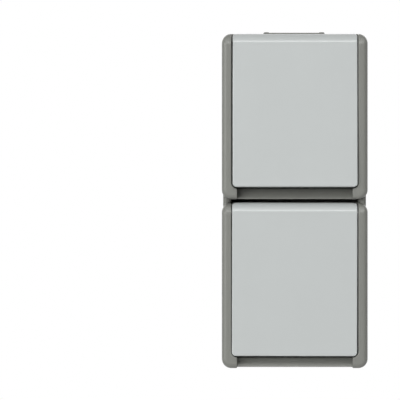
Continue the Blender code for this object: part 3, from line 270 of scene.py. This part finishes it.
def depth_on(line, z):
    """Depth of a side line at a height; level below its first point and above its last."""
    if z <= line[0][0]:
        return line[0][1]
    for (z0, d0), (z1, d1) in zip(line, line[1:]):
        if z <= z1:
            return d0 + (d1 - d0) * (z - z0) / (z1 - z0)
    return line[-1][1]


def side_points(half, low, high, corner_low, corner_high, heights, steps=8):
    """Right-hand side of a rounded outline, from its top edge down, with points at given heights."""
    points = arc(half - corner_high, high - corner_high, corner_high, 90, 0, steps)
    for z in sorted(heights, reverse=True):
        if low + corner_low + EMBED < z < high - corner_high - EMBED:
            points.append((half, z))
    return points + arc(half - corner_low, low + corner_low, corner_low, 0, -90, steps)


def mirrored_loop(side):
    """Closed loop: the right-hand side downwards, then its mirror image upwards."""
    return side + [(-x, z) for x, z in reversed(side)]


def inward_normals(loop):
    """Unit normals that point into a loop listed clockwise as seen from the front."""
    normals = []
    for index in range(len(loop)):
        before = Vector(loop[index - 1])
        here = Vector(loop[index])
        after = Vector(loop[(index + 1) % len(loop)])
        along = (here - before).normalized() + (after - here).normalized()
        along.normalize()
        normals.append(Vector((along.y, -along.x)))
    return normals


# Solids

def add_object(name, bm):
    bmesh.ops.recalc_face_normals(bm, faces=bm.faces)
    mesh = bpy.data.meshes.new(name)
    bm.to_mesh(mesh)
    bm.free()
    obj = bpy.data.objects.new(name, mesh)
    bpy.context.scene.collection.objects.link(obj)
    return obj


def bridge(bm, ring, after):
    for index in range(len(ring)):
        following = (index + 1) % len(ring)
        bm.faces.new((ring[index], ring[following], after[following], after[index]))


def ladder(bm, ring):
    """Fills a mirrored loop with quads from side to side."""
    half = len(ring) // 2
    for index in range(half - 1):
        bm.faces.new((ring[index], ring[index + 1], ring[-index - 2], ring[-index - 1]))


def rim_rings(bm, loop, rounding, line, steps=5):
    """Rings round the front edge of a loop, rounded by rounding(z) and following a side line."""
    rings = []
    normals = inward_normals(loop)
    for step in range(steps + 1):
        angle = math.pi / 2 * step / steps
        ring = []
        for (x, z), normal in zip(loop, normals):
            radius = rounding(z)
            inset = radius * (1 - math.cos(angle))
            rise = radius * (1 - math.sin(angle))
            inner_z = z + normal.y * inset
            ring.append(bm.verts.new(at(x + normal.x * inset, depth_on(line, inner_z) - rise, inner_z)))
        rings.append(ring)
    for ring, after in zip(rings, rings[1:]):
        bridge(bm, ring, after)
    return rings


def prism(name, axis, outline, low, high):
    """Straight solid. Axis x reads an outline as (depth, z), axis d as (x, z) and axis z as (x, depth)."""
    turn = {
        "x": lambda along, u, v: at(along, u, v),
        "d": lambda along, u, v: at(u, along, v),
        "z": lambda along, u, v: at(u, v, along),
    }[axis]
    bm = bmesh.new()
    near = [bm.verts.new(turn(low, u, v)) for u, v in outline]
    far = [bm.verts.new(turn(high, u, v)) for u, v in outline]
    bm.faces.new(near)
    bm.faces.new(far)
    bridge(bm, near, far)
    return add_object(name, bm)


def block(name, x0, x1, d0, d1, z0, z1):
    return prism(name, "d", [(x0, z0), (x1, z0), (x1, z1), (x0, z1)], d0, d1)


def cylinder(name, axis, u, v, radius, low, high, sides=32):
    return prism(name, axis, arc(u, v, radius, 0, 360, sides)[:-1], low, high)


def combine(target, tool, operation):
    modifier = target.modifiers.new("Combine", "BOOLEAN")
    modifier.operation = operation
    modifier.solver = "EXACT"
    modifier.object = tool
    graph = bpy.context.evaluated_depsgraph_get()
    result = bpy.data.meshes.new_from_object(target.evaluated_get(graph))
    before = target.data
    target.modifiers.remove(modifier)
    target.data = result
    bpy.data.meshes.remove(before)
    bpy.data.objects.remove(tool)
    return target


def cut(target, tool):
    return combine(target, tool, "DIFFERENCE")


def join(target, tool):
    return combine(target, tool, "UNION")


def roundable(bm, width):
    """Sharp outer edges that can take a rounding: those that no short edge meets."""
    sharp = set()
    for edge in bm.edges:
        steep = edge.calc_face_angle(0) > math.radians(EDGE_SHARP)
        if edge.is_convex and steep and edge.calc_length() > width:
            sharp.add(edge)
    while True:
        cramped = set()
        for edge in sharp:
            for beside in (*edge.verts[0].link_edges, *edge.verts[1].link_edges):
                if beside not in sharp and beside.calc_length() < ROUNDING_ROOM * width:
                    if set(beside.link_faces) & set(edge.link_faces):
                        cramped.add(edge)
        if not cramped:
            return list(sharp)
        sharp -= cramped


def soften(obj, width):
    """Rounds the sharp outer edges of a finished solid and shades it smooth."""
    bm = bmesh.new()
    bm.from_mesh(obj.data)
    bmesh.ops.remove_doubles(bm, verts=bm.verts, dist=MERGE)
    bmesh.ops.dissolve_limit(bm, angle_limit=math.radians(FLAT_UP_TO), verts=bm.verts, edges=bm.edges)
    bmesh.ops.bevel(
        bm, geom=roundable(bm, width), offset=width, offset_type="OFFSET", segments=BEVEL_STEPS,
        profile=0.5, affect="EDGES", clamp_overlap=False,
    )
    bm.to_mesh(obj.data)
    bm.free()
    return smooth(obj)


def smooth(obj):
    obj.data.shade_smooth()
    obj.data.set_sharp_from_angle(angle=math.radians(SMOOTH_UP_TO))
    return weigh_normals(obj)


def weigh_normals(obj):
    """Keeps flat faces looking flat beside rounded edges."""
    weighted = obj.modifiers.new("Normals", "WEIGHTED_NORMAL")
    weighted.keep_sharp = True
    return obj


# Panels

def make_panel(name, unit):
    """Thin-walled panel whose top rolls back into a hood round the hinge axis of its cover."""
    top = UNIT_SPANS[unit][1]
    low = UNIT_SPANS[unit][0] + FOOT_HEIGHT + FOOT_GAP[unit]
    axis = top - HINGE_DROP
    bend = top - BEND_DROP
    inner_front = PANEL_FRONT - PANEL_THICKNESS
    inner_top = top - SKIRT_THICKNESS
    tail = HINGE_DEPTH + HINGE_DROP * math.cos(math.radians(HOOD_END[unit]))
    skirt_back = inner_front - SKIRT_DEPTH
    outer_line = bend_line(PANEL_FRONT, bend, top, HINGE_DEPTH, BEND_ROUND)
    inner_line = bend_line(inner_front, bend - SKIRT_THICKNESS / 2, inner_top, HINGE_DEPTH, BEND_ROUND)

    def back_of(z):
        share = (z - (axis - HINGE_DROP)) / HINGE_DROP
        share = min(max(share, 0.0), 1.0)
        return skirt_back + (tail - skirt_back) * share

    def under_hood(z, depth, radius):
        if depth >= HINGE_DEPTH:
            return z
        return min(z, axis + math.sqrt(radius ** 2 - (HINGE_DEPTH - depth) ** 2))

    def wall_rings(bm, loop, edge_depths, radius, steps=4):
        rings = []
        for step in range(1, steps + 1):
            ring = []
            for (x, z), edge in zip(loop, edge_depths):
                depth = edge + (back_of(z) - edge) * step / steps
                ring.append(bm.verts.new(at(x, depth, under_hood(z, depth, radius))))
            rings.append(ring)
        return rings

    heights = [z for z, depth in outer_line] + [axis, axis - HINGE_DROP, (low + top) / 2]
    half = PANEL_HALF + PANEL_GROW[unit]
    side = side_points(half, low, top, PANEL_CORNER, PANEL_CORNER, heights)
    outer = mirrored_loop(side)
    bm = bmesh.new()
    rims = rim_rings(bm, outer, lambda z: PANEL_EDGE, outer_line)
    ladder(bm, rims[-1])
    edges = [depth_on(outer_line, z) - PANEL_EDGE for x, z in outer]
    walls = wall_rings(bm, outer, edges, HINGE_DROP)
    for ring, after in zip([rims[0]] + walls, walls):
        bridge(bm, ring, after)

    inner_half = half - SKIRT_THICKNESS
    inner_low = low + SKIRT_THICKNESS
    squeeze = (inner_top - inner_low) / (top - low)
    inner = []
    for x, z in outer:
        inner.append((x * inner_half / half, inner_low + (z - low) * squeeze))
    edges = [depth_on(inner_line, z) for x, z in inner]
    face = [bm.verts.new(at(x, depth, z)) for (x, z), depth in zip(inner, edges)]
    ladder(bm, face)
    inside = wall_rings(bm, inner, edges, HINGE_DROP - SKIRT_THICKNESS)
    for ring, after in zip([face] + inside, inside):
        bridge(bm, ring, after)
    bridge(bm, walls[-1], inside[-1])
    bmesh.ops.translate(bm, verts=bm.verts, vec=at(PANEL_SHIFT[unit], 0, 0))
    return smooth(add_object(name, bm))


# Covers

def make_shell(name, unit):
    """Cover with rounded cheeks, feet, a finger recess and a deck, before the deck is pierced."""
    bottom, top = UNIT_SPANS[unit]
    bend = top - CHEEK_BEND_DROP
    line = bend_line(FRAME_FRONT, bend, top, HINGE_DEPTH, CHEEK_BEND_ROUND, arc_steps=4)

    def rounding(z):
        share = min(max((z - (top - FRAME_CORNER)) / FRAME_CORNER, 0.0), 1.0)
        return CHEEK_ROUND + (CHEEK_TOP_ROUND - CHEEK_ROUND) * share

    heights = [z for z, depth in line]
    side = side_points(HALF_WIDTH, bottom, top, FRAME_CORNER, FRAME_CORNER, heights, steps=12)
    loop = mirrored_loop(side)
    bm = bmesh.new()
    rims = rim_rings(bm, loop, rounding, line, steps=6)
    ladder(bm, rims[-1])
    back = [bm.verts.new(at(x, FRAME_BACK, z)) for x, z in loop]
    bridge(bm, rims[0], back)
    ladder(bm, back)
    shell = add_object(name, bm)

    foot_top = bottom + FOOT_HEIGHT
    lip = DECK_FRONT + TOP_LIP
    opening = rounded_rectangle(
        -OPENING_HALF, OPENING_HALF, foot_top, top + 2 * FRAME_CORNER, OPENING_CORNER
    )
    cut(shell, prism("opening", "d", opening, lip, PANEL_FRONT + OVERSHOOT))
    square_top = [(OPENING_HALF, top - FRAME_WALL), (-OPENING_HALF, top - FRAME_WALL)]
    under_lip = opening[:CORNER_POINTS] + square_top + opening[-CORNER_POINTS:]
    cut(shell, prism("under_lip", "d", under_lip, DECK_FRONT, lip + OVERSHOOT))

    sill = bottom + SILL_RISE[unit]
    sill_front = FRAME_FRONT - SILL_RECESS[unit]
    past = SILL_LEAN[unit] / (foot_top - sill) * OVERSHOOT
    recess = [
        (FRAME_BACK - OVERSHOOT, bottom - OVERSHOOT), (FRAME_FRONT + OVERSHOOT, bottom - OVERSHOOT),
        (FRAME_FRONT + OVERSHOOT, foot_top + OVERSHOOT),
        (sill_front - SILL_LEAN[unit] - past, foot_top + OVERSHOOT),
        (sill_front, sill), (FRAME_BACK - OVERSHOOT, sill),
    ]
    inner_foot = HALF_WIDTH - FOOT_WIDTH
    cut(shell, prism("recess", "x", recess, -inner_foot, inner_foot))

    rim = HALF_WIDTH - TONGUE_INSET
    tongue = rounded_rectangle(
        -rim, rim, bottom + TONGUE_INSET, top - TONGUE_INSET, FRAME_CORNER - TONGUE_INSET
    )
    join(shell, prism("tongue", "d", tongue, FRAME_BACK - TONGUE_RISE, FRAME_BACK + EMBED))
    inner = HALF_WIDTH - FRAME_WALL
    cavity = rounded_rectangle(
        -inner, inner, bottom + FRAME_WALL, top - FRAME_WALL, FRAME_CORNER - FRAME_WALL
    )
    cut(shell, prism("cavity", "d", cavity, FRAME_BACK - OVERSHOOT, DECK_BACK))
    return shell


def screw_centre(name):
    """Place (x, z) of a screw's axis."""
    low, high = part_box(name)
    return (low.x + high.x) / 2, (low.z + high.z) / 2


def add_screw_bosses(shell, unit):
    """Bosses behind the deck that meet the posts of the box, each with a hole for a screw."""
    for hand in ("left", "right"):
        x, z = screw_centre(f"{unit}_frame_screw_{hand}")
        join(shell, cylinder("boss", "d", x, z, POST_RADIUS, LEDGE + BACK_GAP, DECK_BACK + EMBED))
        cut(shell, cylinder("hole", "d", x, z, SCREW_HOLE, LEDGE, DECK_FRONT + OVERSHOOT, sides=24))


def make_upper_cover():
    """Cover of the switch, its deck open behind the rocker."""
    shell = make_shell("upper_cover", "upper")
    x0, x1 = -WINDOW_HALF_WIDTH, WINDOW_HALF_WIDTH
    z0, z1 = ROCKER_PIVOT.z - WINDOW_HALF_HEIGHT, ROCKER_PIVOT.z + WINDOW_HALF_HEIGHT
    window = rounded_rectangle(x0, x1, z0, z1, WINDOW_CORNER, steps=3)
    cut(shell, prism("window", "d", window, DECK_BACK - OVERSHOOT, DECK_FRONT + OVERSHOOT))
    add_screw_bosses(shell, "upper")
    return soften(shell, EDGE)


def make_lower_cover():
    """Cover of the socket: a collar for the lid's seal, and room and seats for the hinge."""
    shell = make_shell("lower_cover", "lower")
    middle = (CUP_LOW.z + CUP_HIGH.z) / 2
    axis = UNIT_SPANS["lower"][1] - HINGE_DROP
    swing = HINGE_DROP + SWING_ROOM
    half = (PANEL_HALF + OPENING_HALF) / 2
    cut(shell, cylinder("swing", "x", HINGE_DEPTH, axis, swing, -half, half, sides=64))
    collar = cylinder("collar", "d", 0, middle, COLLAR_OUTER, DECK_FRONT - EMBED, COLLAR_FRONT, sides=96)
    join(shell, collar)
    low = DECK_BACK - OVERSHOOT
    cut(shell, cylinder("bore", "d", 0, middle, COLLAR_INNER, low, COLLAR_FRONT + OVERSHOOT, sides=96))
    add_screw_bosses(shell, "lower")
    reach = PIN_HIGH.x + EMBED
    cut(shell, cylinder("seat", "x", HINGE_DEPTH, axis, PIN_HIGH.z - axis + EMBED, -reach, reach))
    return soften(shell, EDGE)


# Box

def make_box():
    """Box behind the covers, with its cable entries, screw slots and the pad round the top entry."""
    half_height = -BOX_LOW.z
    outline = rounded_rectangle(
        -BOX_HALF_WIDTH, BOX_HALF_WIDTH, -half_height, half_height, BOX_CORNER, steps=12
    )
    box = prism("box_shell", "d", outline, 0, BOX_DEPTH)
    entry_depth = -(GROMMET_LOW.y + GROMMET_HIGH.y) / 2
    step = PAD_WIDTH / 2 - PAD_BEAD_WIDTH
    top = BOX_HIGH.z - PAD_BEAD_RISE
    pad = [(-PAD_WIDTH / 2, half_height - EMBED), (PAD_WIDTH / 2, half_height - EMBED)]
    pad += bead(PAD_WIDTH / 2, step, top)
    pad += bead(-step, -PAD_WIDTH / 2, top)
    join(box, prism("pad", "d", pad, entry_depth - PAD_DEPTH / 2, entry_depth + PAD_DEPTH / 2))
    for side in (1, -1):
        for grow, floor in ((0, BOX_FLOOR), (LEDGE_WIDTH, LEDGE)):
            half = BOX_HALF_WIDTH - BOX_WALL + grow
            ends = sorted((side * (WEB / 2 - grow), side * (half_height - BOX_WALL + grow)))
            cavity = rounded_rectangle(-half, half, *ends, BOX_CORNER - BOX_WALL + grow)
            cut(box, prism("cavity", "d", cavity, floor, BOX_DEPTH + OVERSHOOT))
        ends = sorted((side * (half_height - BOX_WALL - OVERSHOOT), side * (BOX_HIGH.z + OVERSHOOT)))
        cut(box, cylinder("entry", "z", 0, entry_depth, ENTRY_RADIUS, *ends, sides=64))
        for x in (-SLOT_SPREAD / 2, SLOT_SPREAD / 2):
            middle = side * SLOT_PITCH / 2
            slot = rounded_rectangle(
                x - SLOT_RADIUS, x + SLOT_RADIUS, middle - SLOT_REACH, middle + SLOT_REACH, SLOT_RADIUS
            )
            cut(box, prism("slot", "d", slot, -OVERSHOOT, BOX_FLOOR + OVERSHOOT))
    groove = [
        (BOX_DEPTH - GROOVE_DEPTH, 0), (BOX_DEPTH, GROOVE_HALF), (BOX_DEPTH + OVERSHOOT, GROOVE_HALF),
        (BOX_DEPTH + OVERSHOOT, -GROOVE_HALF), (BOX_DEPTH, -GROOVE_HALF),
    ]
    cut(box, prism("groove", "x", groove, -OPENING_HALF, OPENING_HALF))
    bar = WEB / 2 + OVERSHOOT
    cut(box, block("way", -WIRE_WAY_HALF, WIRE_WAY_HALF, BOX_FLOOR, WIRE_WAY_DEPTH, -bar, bar))
    for screw, top in (
        ("upper_frame", LEDGE), ("lower_frame", LEDGE), ("switch", INSERT_POST), ("socket", INSERT_POST)
    ):
        for hand in ("left", "right"):
            x, z = screw_centre(f"{screw}_screw_{hand}")
            join(box, cylinder("post", "d", x, z, POST_RADIUS, BOX_FLOOR - EMBED, top))
            cut(box, cylinder("bore", "d", x, z, SCREW_HOLE, top - POST_BORE, top + OVERSHOOT, sides=24))
    return add_shells(soften(box, EDGE), [make_lug(1), make_lug(-1)])


def make_lug(hand):
    """Lug that fills the notch between the covers' rounded corners, its front falling back inwards."""
    spacing = UNIT_SPANS["upper"][0] - UNIT_SPANS["lower"][1]
    side = []
    for x, drop in LUG_LINE:
        across = max(x - (HALF_WIDTH - FRAME_CORNER), 0)
        opening = FRAME_CORNER - math.sqrt(FRAME_CORNER ** 2 - across ** 2)
        side.append((hand * x, spacing / 2 + opening - LUG_GAP, FRAME_FRONT - drop))
    loop = side + [(x, -z, depth) for x, z, depth in reversed(side)]
    bm = bmesh.new()
    back = [bm.verts.new(at(x, BOX_DEPTH - EMBED, z)) for x, z, depth in loop]
    front = [bm.verts.new(at(x, depth, z)) for x, z, depth in loop]
    bridge(bm, back, front)
    ladder(bm, back)
    ladder(bm, front)
    return smooth(add_object("lug", bm))


def bead(right, left, foot):
    """Low rounded bead across one end of the pad, as outline points from its right to its left."""
    middle = (right + left) / 2
    half = (right - left) / 2
    points = []
    for u, v in arc(0, 0, 1, 0, 180, 8):
        points.append((middle + half * u, foot + PAD_BEAD_RISE * v))
    return points


# Panel fittings

def make_lid():
    """Lid with two knuckles on its hinge pin."""
    lid = make_panel("lid_panel", "lower")
    axis = UNIT_SPANS["lower"][1] - HINGE_DROP
    hinge = at(0, HINGE_DEPTH, axis)
    skew = Matrix.Rotation(math.radians(LID_SKEW), 4, "Y")
    lid.data.transform(Matrix.Translation(hinge) @ skew @ Matrix.Translation(-hinge))
    front = PANEL_FRONT - PANEL_THICKNESS + EMBED
    outline = [(front, axis), *arc(HINGE_DEPTH, axis, KNUCKLE_RADIUS, 90, KNUCKLE_END, 16)]
    outline += [(front, axis - 2 * KNUCKLE_RADIUS)]
    radius = PIN_HIGH.z - axis + EMBED
    knuckles = []
    for middle in (-KNUCKLE_OFFSET, KNUCKLE_OFFSET):
        left, right = middle - KNUCKLE_WIDTH / 2, middle + KNUCKLE_WIDTH / 2
        knuckle = prism("knuckle", "x", outline, left, right)
        cut(knuckle, cylinder("bore", "x", HINGE_DEPTH, axis, radius, left - EMBED, right + EMBED))
        knuckles.append(soften(knuckle, EDGE))
    return add_shells(lid, knuckles)


def make_rocker():
    """Rocker with the two clips that hold its carrier, resting with its top pressed in."""
    rocker = make_panel("rocker_panel", "upper")
    inner = PANEL_FRONT - PANEL_THICKNESS
    clips = []
    for side in (1, -1):
        near = ROCKER_PIVOT.z + side * CLIP_RISE
        ends = sorted((near, near + side * CLIP_THICKNESS))
        clip = block("clip", -CLIP_HALF, CLIP_HALF, inner - CLIP_DEPTH, inner + EMBED, *ends)
        clips.append(soften(clip, EDGE))
    add_shells(rocker, clips)
    tilt = Matrix.Rotation(math.radians(-ROCKER_TRAVEL / 2), 4, "X")
    rocker.data.transform(Matrix.Translation(ROCKER_PIVOT) @ tilt @ Matrix.Translation(-ROCKER_PIVOT))
    return rocker


def add_shells(target, shells):
    """Adds other closed shells to a piece's mesh."""
    bm = bmesh.new()
    bm.from_mesh(target.data)
    for shell in shells:
        bm.from_mesh(shell.data)
        bpy.data.objects.remove(shell)
    bm.to_mesh(target.data)
    bm.free()
    return target


# Materials

def new_material(name):
    material = bpy.data.materials.new(name)
    material.use_nodes = True
    tree = material.node_tree
    shader = tree.nodes["Principled BSDF"]
    place = tree.nodes.new("ShaderNodeTexCoord").outputs["Object"]
    return material, tree, shader, place


def noise(tree, place, size, detail=2.0):
    """Noise whose features are about size metres across."""
    node = tree.nodes.new("ShaderNodeTexNoise")
    node.inputs["Scale"].default_value = 1 / size
    node.inputs["Detail"].default_value = detail
    tree.links.new(place, node.inputs["Vector"])
    return node.outputs["Fac"]


def spread(tree, value, low, high):
    """Maps a noise to a range."""
    node = tree.nodes.new("ShaderNodeMapRange")
    node.inputs["From Min"].default_value = NOISE_LOW
    node.inputs["From Max"].default_value = NOISE_HIGH
    node.inputs["To Min"].default_value = low
    node.inputs["To Max"].default_value = high
    tree.links.new(value, node.inputs["Value"])
    return node.outputs["Result"]


def tint(tree, shader, value, colour, drift):
    """Base colour that drifts a little either way with a value between 0 and 1."""
    node = tree.nodes.new("ShaderNodeMix")
    node.data_type = "RGBA"
    for socket, sign in (("A", -1), ("B", 1)):
        shade = [channel * (1 + sign * drift) for channel in colour]
        node.inputs[socket_index(node, socket)].default_value = (*shade, 1.0)
    tree.links.new(value, node.inputs["Factor"])
    tree.links.new(node.outputs[2], shader.inputs["Base Color"])


def socket_index(node, name):
    """Index of a colour mixer's own A or B socket."""
    for index, socket in enumerate(node.inputs):
        if socket.name == name and socket.type == "RGBA":
            return index
    raise KeyError(name)


def relief(tree, shader, layers):
    """Stacks bumps, each a height with its depth in metres."""
    normal = None
    for height, depth in layers:
        node = tree.nodes.new("ShaderNodeBump")
        node.inputs["Strength"].default_value = 1.0
        node.inputs["Distance"].default_value = depth
        tree.links.new(height, node.inputs["Height"])
        if normal is not None:
            tree.links.new(normal, node.inputs["Normal"])
        normal = node.outputs["Normal"]
    tree.links.new(normal, shader.inputs["Normal"])


def plastic(name, colour, roughness, grain=PLAIN_GRAIN, drift=0.02, gloss_drift=0.04):
    """Satin moulded plastic: fine spark-eroded grain, slight flow marks and a gloss that varies a bit."""
    material, tree, shader, place = new_material(name)
    cloud = noise(tree, place, CLOUD_SIZE, 3.0)
    tint(tree, shader, spread(tree, cloud, 0.0, 1.0), colour, drift)
    gloss = noise(tree, place, GLOSS_SIZE, 4.0)
    gloss = spread(tree, gloss, roughness - gloss_drift, roughness + gloss_drift)
    tree.links.new(gloss, shader.inputs["Roughness"])
    fine = noise(tree, place, GRAIN_SIZE, 3.0)
    broad = noise(tree, place, WAVE_SIZE, 1.0)
    relief(tree, shader, [(broad, WAVE_DEPTH), (fine, grain)])
    shader.inputs["IOR"].default_value = PLASTIC_IOR
    return material


def metal(name, colour, roughness, drawn):
    """Plated metal with faint drawing marks, stretched by a factor along each axis."""
    material, tree, shader, place = new_material(name)
    stretch = tree.nodes.new("ShaderNodeMapping")
    stretch.inputs["Scale"].default_value = drawn
    tree.links.new(place, stretch.inputs["Vector"])
    marks = noise(tree, stretch.outputs["Vector"], DRAWING_SIZE, 3.0)
    stain = noise(tree, place, STAIN_SIZE, 3.0)
    tint(tree, shader, spread(tree, stain, 0.0, 1.0), colour, STAIN_DRIFT)
    gloss = spread(tree, marks, roughness - DRAWING_GLOSS, roughness + DRAWING_GLOSS)
    tree.links.new(gloss, shader.inputs["Roughness"])
    relief(tree, shader, [(marks, DRAWING_DEPTH)])
    shader.inputs["Metallic"].default_value = 1.0
    return material


def make_materials():
    return {
        "light_grey_plastic": plastic(
            "light_grey_plastic", LIGHT_GREY, roughness=0.30, grain=FINE_GRAIN, drift=0.008,
            gloss_drift=0.015,
        ),
        "dark_grey_plastic": plastic(
            "dark_grey_plastic", DARK_GREY, roughness=0.39, grain=FINE_GRAIN, gloss_drift=0.03
        ),
        "box_plastic": plastic("box_plastic", DARK_GREY, roughness=0.52, grain=FINE_GRAIN),
        "pale_grey_plastic": plastic("pale_grey_plastic", PALE_GREY, roughness=0.36),
        "black_plastic": plastic("black_plastic", BLACK_PLASTIC, roughness=0.45, drift=0.15),
        "black_rubber": plastic(
            "black_rubber", BLACK_RUBBER, roughness=0.78, grain=COARSE_GRAIN, drift=0.2
        ),
        "brass": metal("brass", BRASS, roughness=0.30, drawn=(1.0, DRAWING_STRETCH, 1.0)),
        "zinc_steel": metal("zinc_steel", ZINC, roughness=0.42, drawn=(DRAWING_STRETCH, 1.0, 1.0)),
    }


# Studio

def aim(obj, place, target):
    obj.location = place
    obj.rotation_mode = "QUATERNION"
    obj.rotation_quaternion = (Vector(target) - Vector(place)).to_track_quat("-Z", "Y")


def add_lamp(name, azimuth, elevation, width, height, power):
    """Soft flat lamp that looks at the front of the object."""
    azimuth, elevation = math.radians(azimuth), math.radians(elevation)
    away = (math.sin(azimuth), math.cos(azimuth), math.tan(elevation))
    target = at(0, PANEL_FRONT, 0)
    lamp = bpy.data.lights.new(name, "AREA")
    lamp.shape = "RECTANGLE"
    lamp.size = width
    lamp.size_y = height
    lamp.energy = power
    obj = bpy.data.objects.new(name, lamp)
    bpy.context.scene.collection.objects.link(obj)
    aim(obj, target + LAMP_DISTANCE * at(*away).normalized(), target)


def background_share(tree):
    """1 for rays that see or mirror the background, and 0 for rays that gather its light."""
    path = tree.nodes.new("ShaderNodeLightPath")
    total = path.outputs["Is Camera Ray"]
    for name in ("Is Glossy Ray", "Is Transmission Ray"):
        most = tree.nodes.new("ShaderNodeMath")
        most.operation = "MAXIMUM"
        tree.links.new(total, most.inputs[0])
        tree.links.new(path.outputs[name], most.inputs[1])
        total = most.outputs[0]
    return total


def make_world():
    """Even dim light all round, in front of a background that is seen as white."""
    world = bpy.data.worlds.new("studio")
    bpy.context.scene.world = world
    world.use_nodes = True
    tree = world.node_tree
    light = tree.nodes["Background"]
    light.inputs["Color"].default_value = WHITE
    light.inputs["Strength"].default_value = AMBIENT
    white = tree.nodes.new("ShaderNodeBackground")
    white.inputs["Color"].default_value = WHITE
    white.inputs["Strength"].default_value = 1.0
    mix = tree.nodes.new("ShaderNodeMixShader")
    tree.links.new(background_share(tree), mix.inputs[0])
    tree.links.new(light.outputs[0], mix.inputs[1])
    tree.links.new(white.outputs[0], mix.inputs[2])
    tree.links.new(mix.outputs[0], tree.nodes["World Output"].inputs["Surface"])


def make_floor():
    """Plain pale floor well below the part, which hangs on a wall that isn't shown."""
    z = BOX_LOW.z - FLOOR_DROP
    corners = ((-1, -1), (1, -1), (1, 1), (-1, 1))
    bm = bmesh.new()
    bm.faces.new([bm.verts.new((FLOOR_HALF * x, FLOOR_HALF * y, z)) for x, y in corners])
    floor = add_object("floor", bm)
    material, tree, shader, place = new_material("floor_paint")
    cloud = noise(tree, place, FLOOR_CLOUD)
    tint(tree, shader, spread(tree, cloud, 0.0, 1.0), FLOOR_COLOUR, FLOOR_DRIFT)
    shader.inputs["Roughness"].default_value = FLOOR_ROUGHNESS
    shader.inputs["Emission Color"].default_value = WHITE
    strength = tree.nodes.new("ShaderNodeMath")
    strength.operation = "MULTIPLY"
    strength.inputs[1].default_value = FLOOR_GLOW
    tree.links.new(background_share(tree), strength.inputs[0])
    tree.links.new(strength.outputs[0], shader.inputs["Emission Strength"])
    floor.data.materials.append(material)


def make_camera():
    """Long-lens camera straight in front, placed so that the part stands where it does in the photo."""
    data = bpy.data.cameras.new("camera")
    data.sensor_width = SENSOR
    data.lens = SENSOR * CAMERA_DISTANCE / VIEW_WIDTH
    data.clip_end = 10 * CAMERA_DISTANCE
    camera = bpy.data.objects.new("camera", data)
    bpy.context.scene.collection.objects.link(camera)
    right = (IMAGE_SIZE / 2 - PART_MIDDLE_X) * VIEW_WIDTH / IMAGE_SIZE
    rise = (PART_MIDDLE_Y - IMAGE_SIZE / 2) * VIEW_WIDTH / IMAGE_SIZE
    camera.location = at(right, PANEL_FRONT + CAMERA_DISTANCE, rise)
    camera.rotation_euler = (math.radians(90), 0, 0)
    bpy.context.scene.camera = camera


# Assembly

def dress(piece, body, slot, material, *nodes):
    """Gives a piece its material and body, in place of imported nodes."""
    piece.data.materials.clear()
    piece.data.materials.append(material)
    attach(piece, body)
    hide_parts(*nodes)


def dress_node(node, material):
    """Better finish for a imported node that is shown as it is."""
    obj = frame["nodes"][node]
    for index in range(len(obj.material_slots)):
        obj.material_slots[index].material = material
    weld = obj.modifiers.new("Weld", "WELD")
    weld.merge_threshold = NODE_WELD
    bevel = obj.modifiers.new("Edges", "BEVEL")
    bevel.width = NODE_EDGE
    bevel.segments = BEVEL_STEPS
    bevel.limit_method = "ANGLE"
    bevel.angle_limit = math.radians(NODE_SHARP)
    weigh_normals(obj)


def main():
    materials = make_materials()
    light, dark = materials["light_grey_plastic"], materials["dark_grey_plastic"]
    dress(make_rocker(), "rocker", "light_grey_plastic", light, "rocker")
    dress(make_lid(), "lid", "light_grey_plastic", light, "lid")
    dress(make_upper_cover(), "box", "dark_grey_plastic", dark, "upper_frame")
    dress(make_lower_cover(), "box", "dark_grey_plastic", dark, "lower_frame")
    dress(make_box(), "box", "dark_grey_plastic", materials["box_plastic"], "back_box")
    for node in frame["nodes"]:
        if not frame["nodes"][node].hide_render:
            dress_node(node, materials[node_slot(node)])
    make_world()
    for name, settings in LAMPS.items():
        add_lamp(name, *settings)
    make_floor()
    make_camera()
    bpy.context.scene.view_settings.view_transform = "Standard"


def node_slot(node):
    """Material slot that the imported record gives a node."""
    name = frame["nodes"][node].material_slots[0].material.name
    return name.split(".")[0]


main()
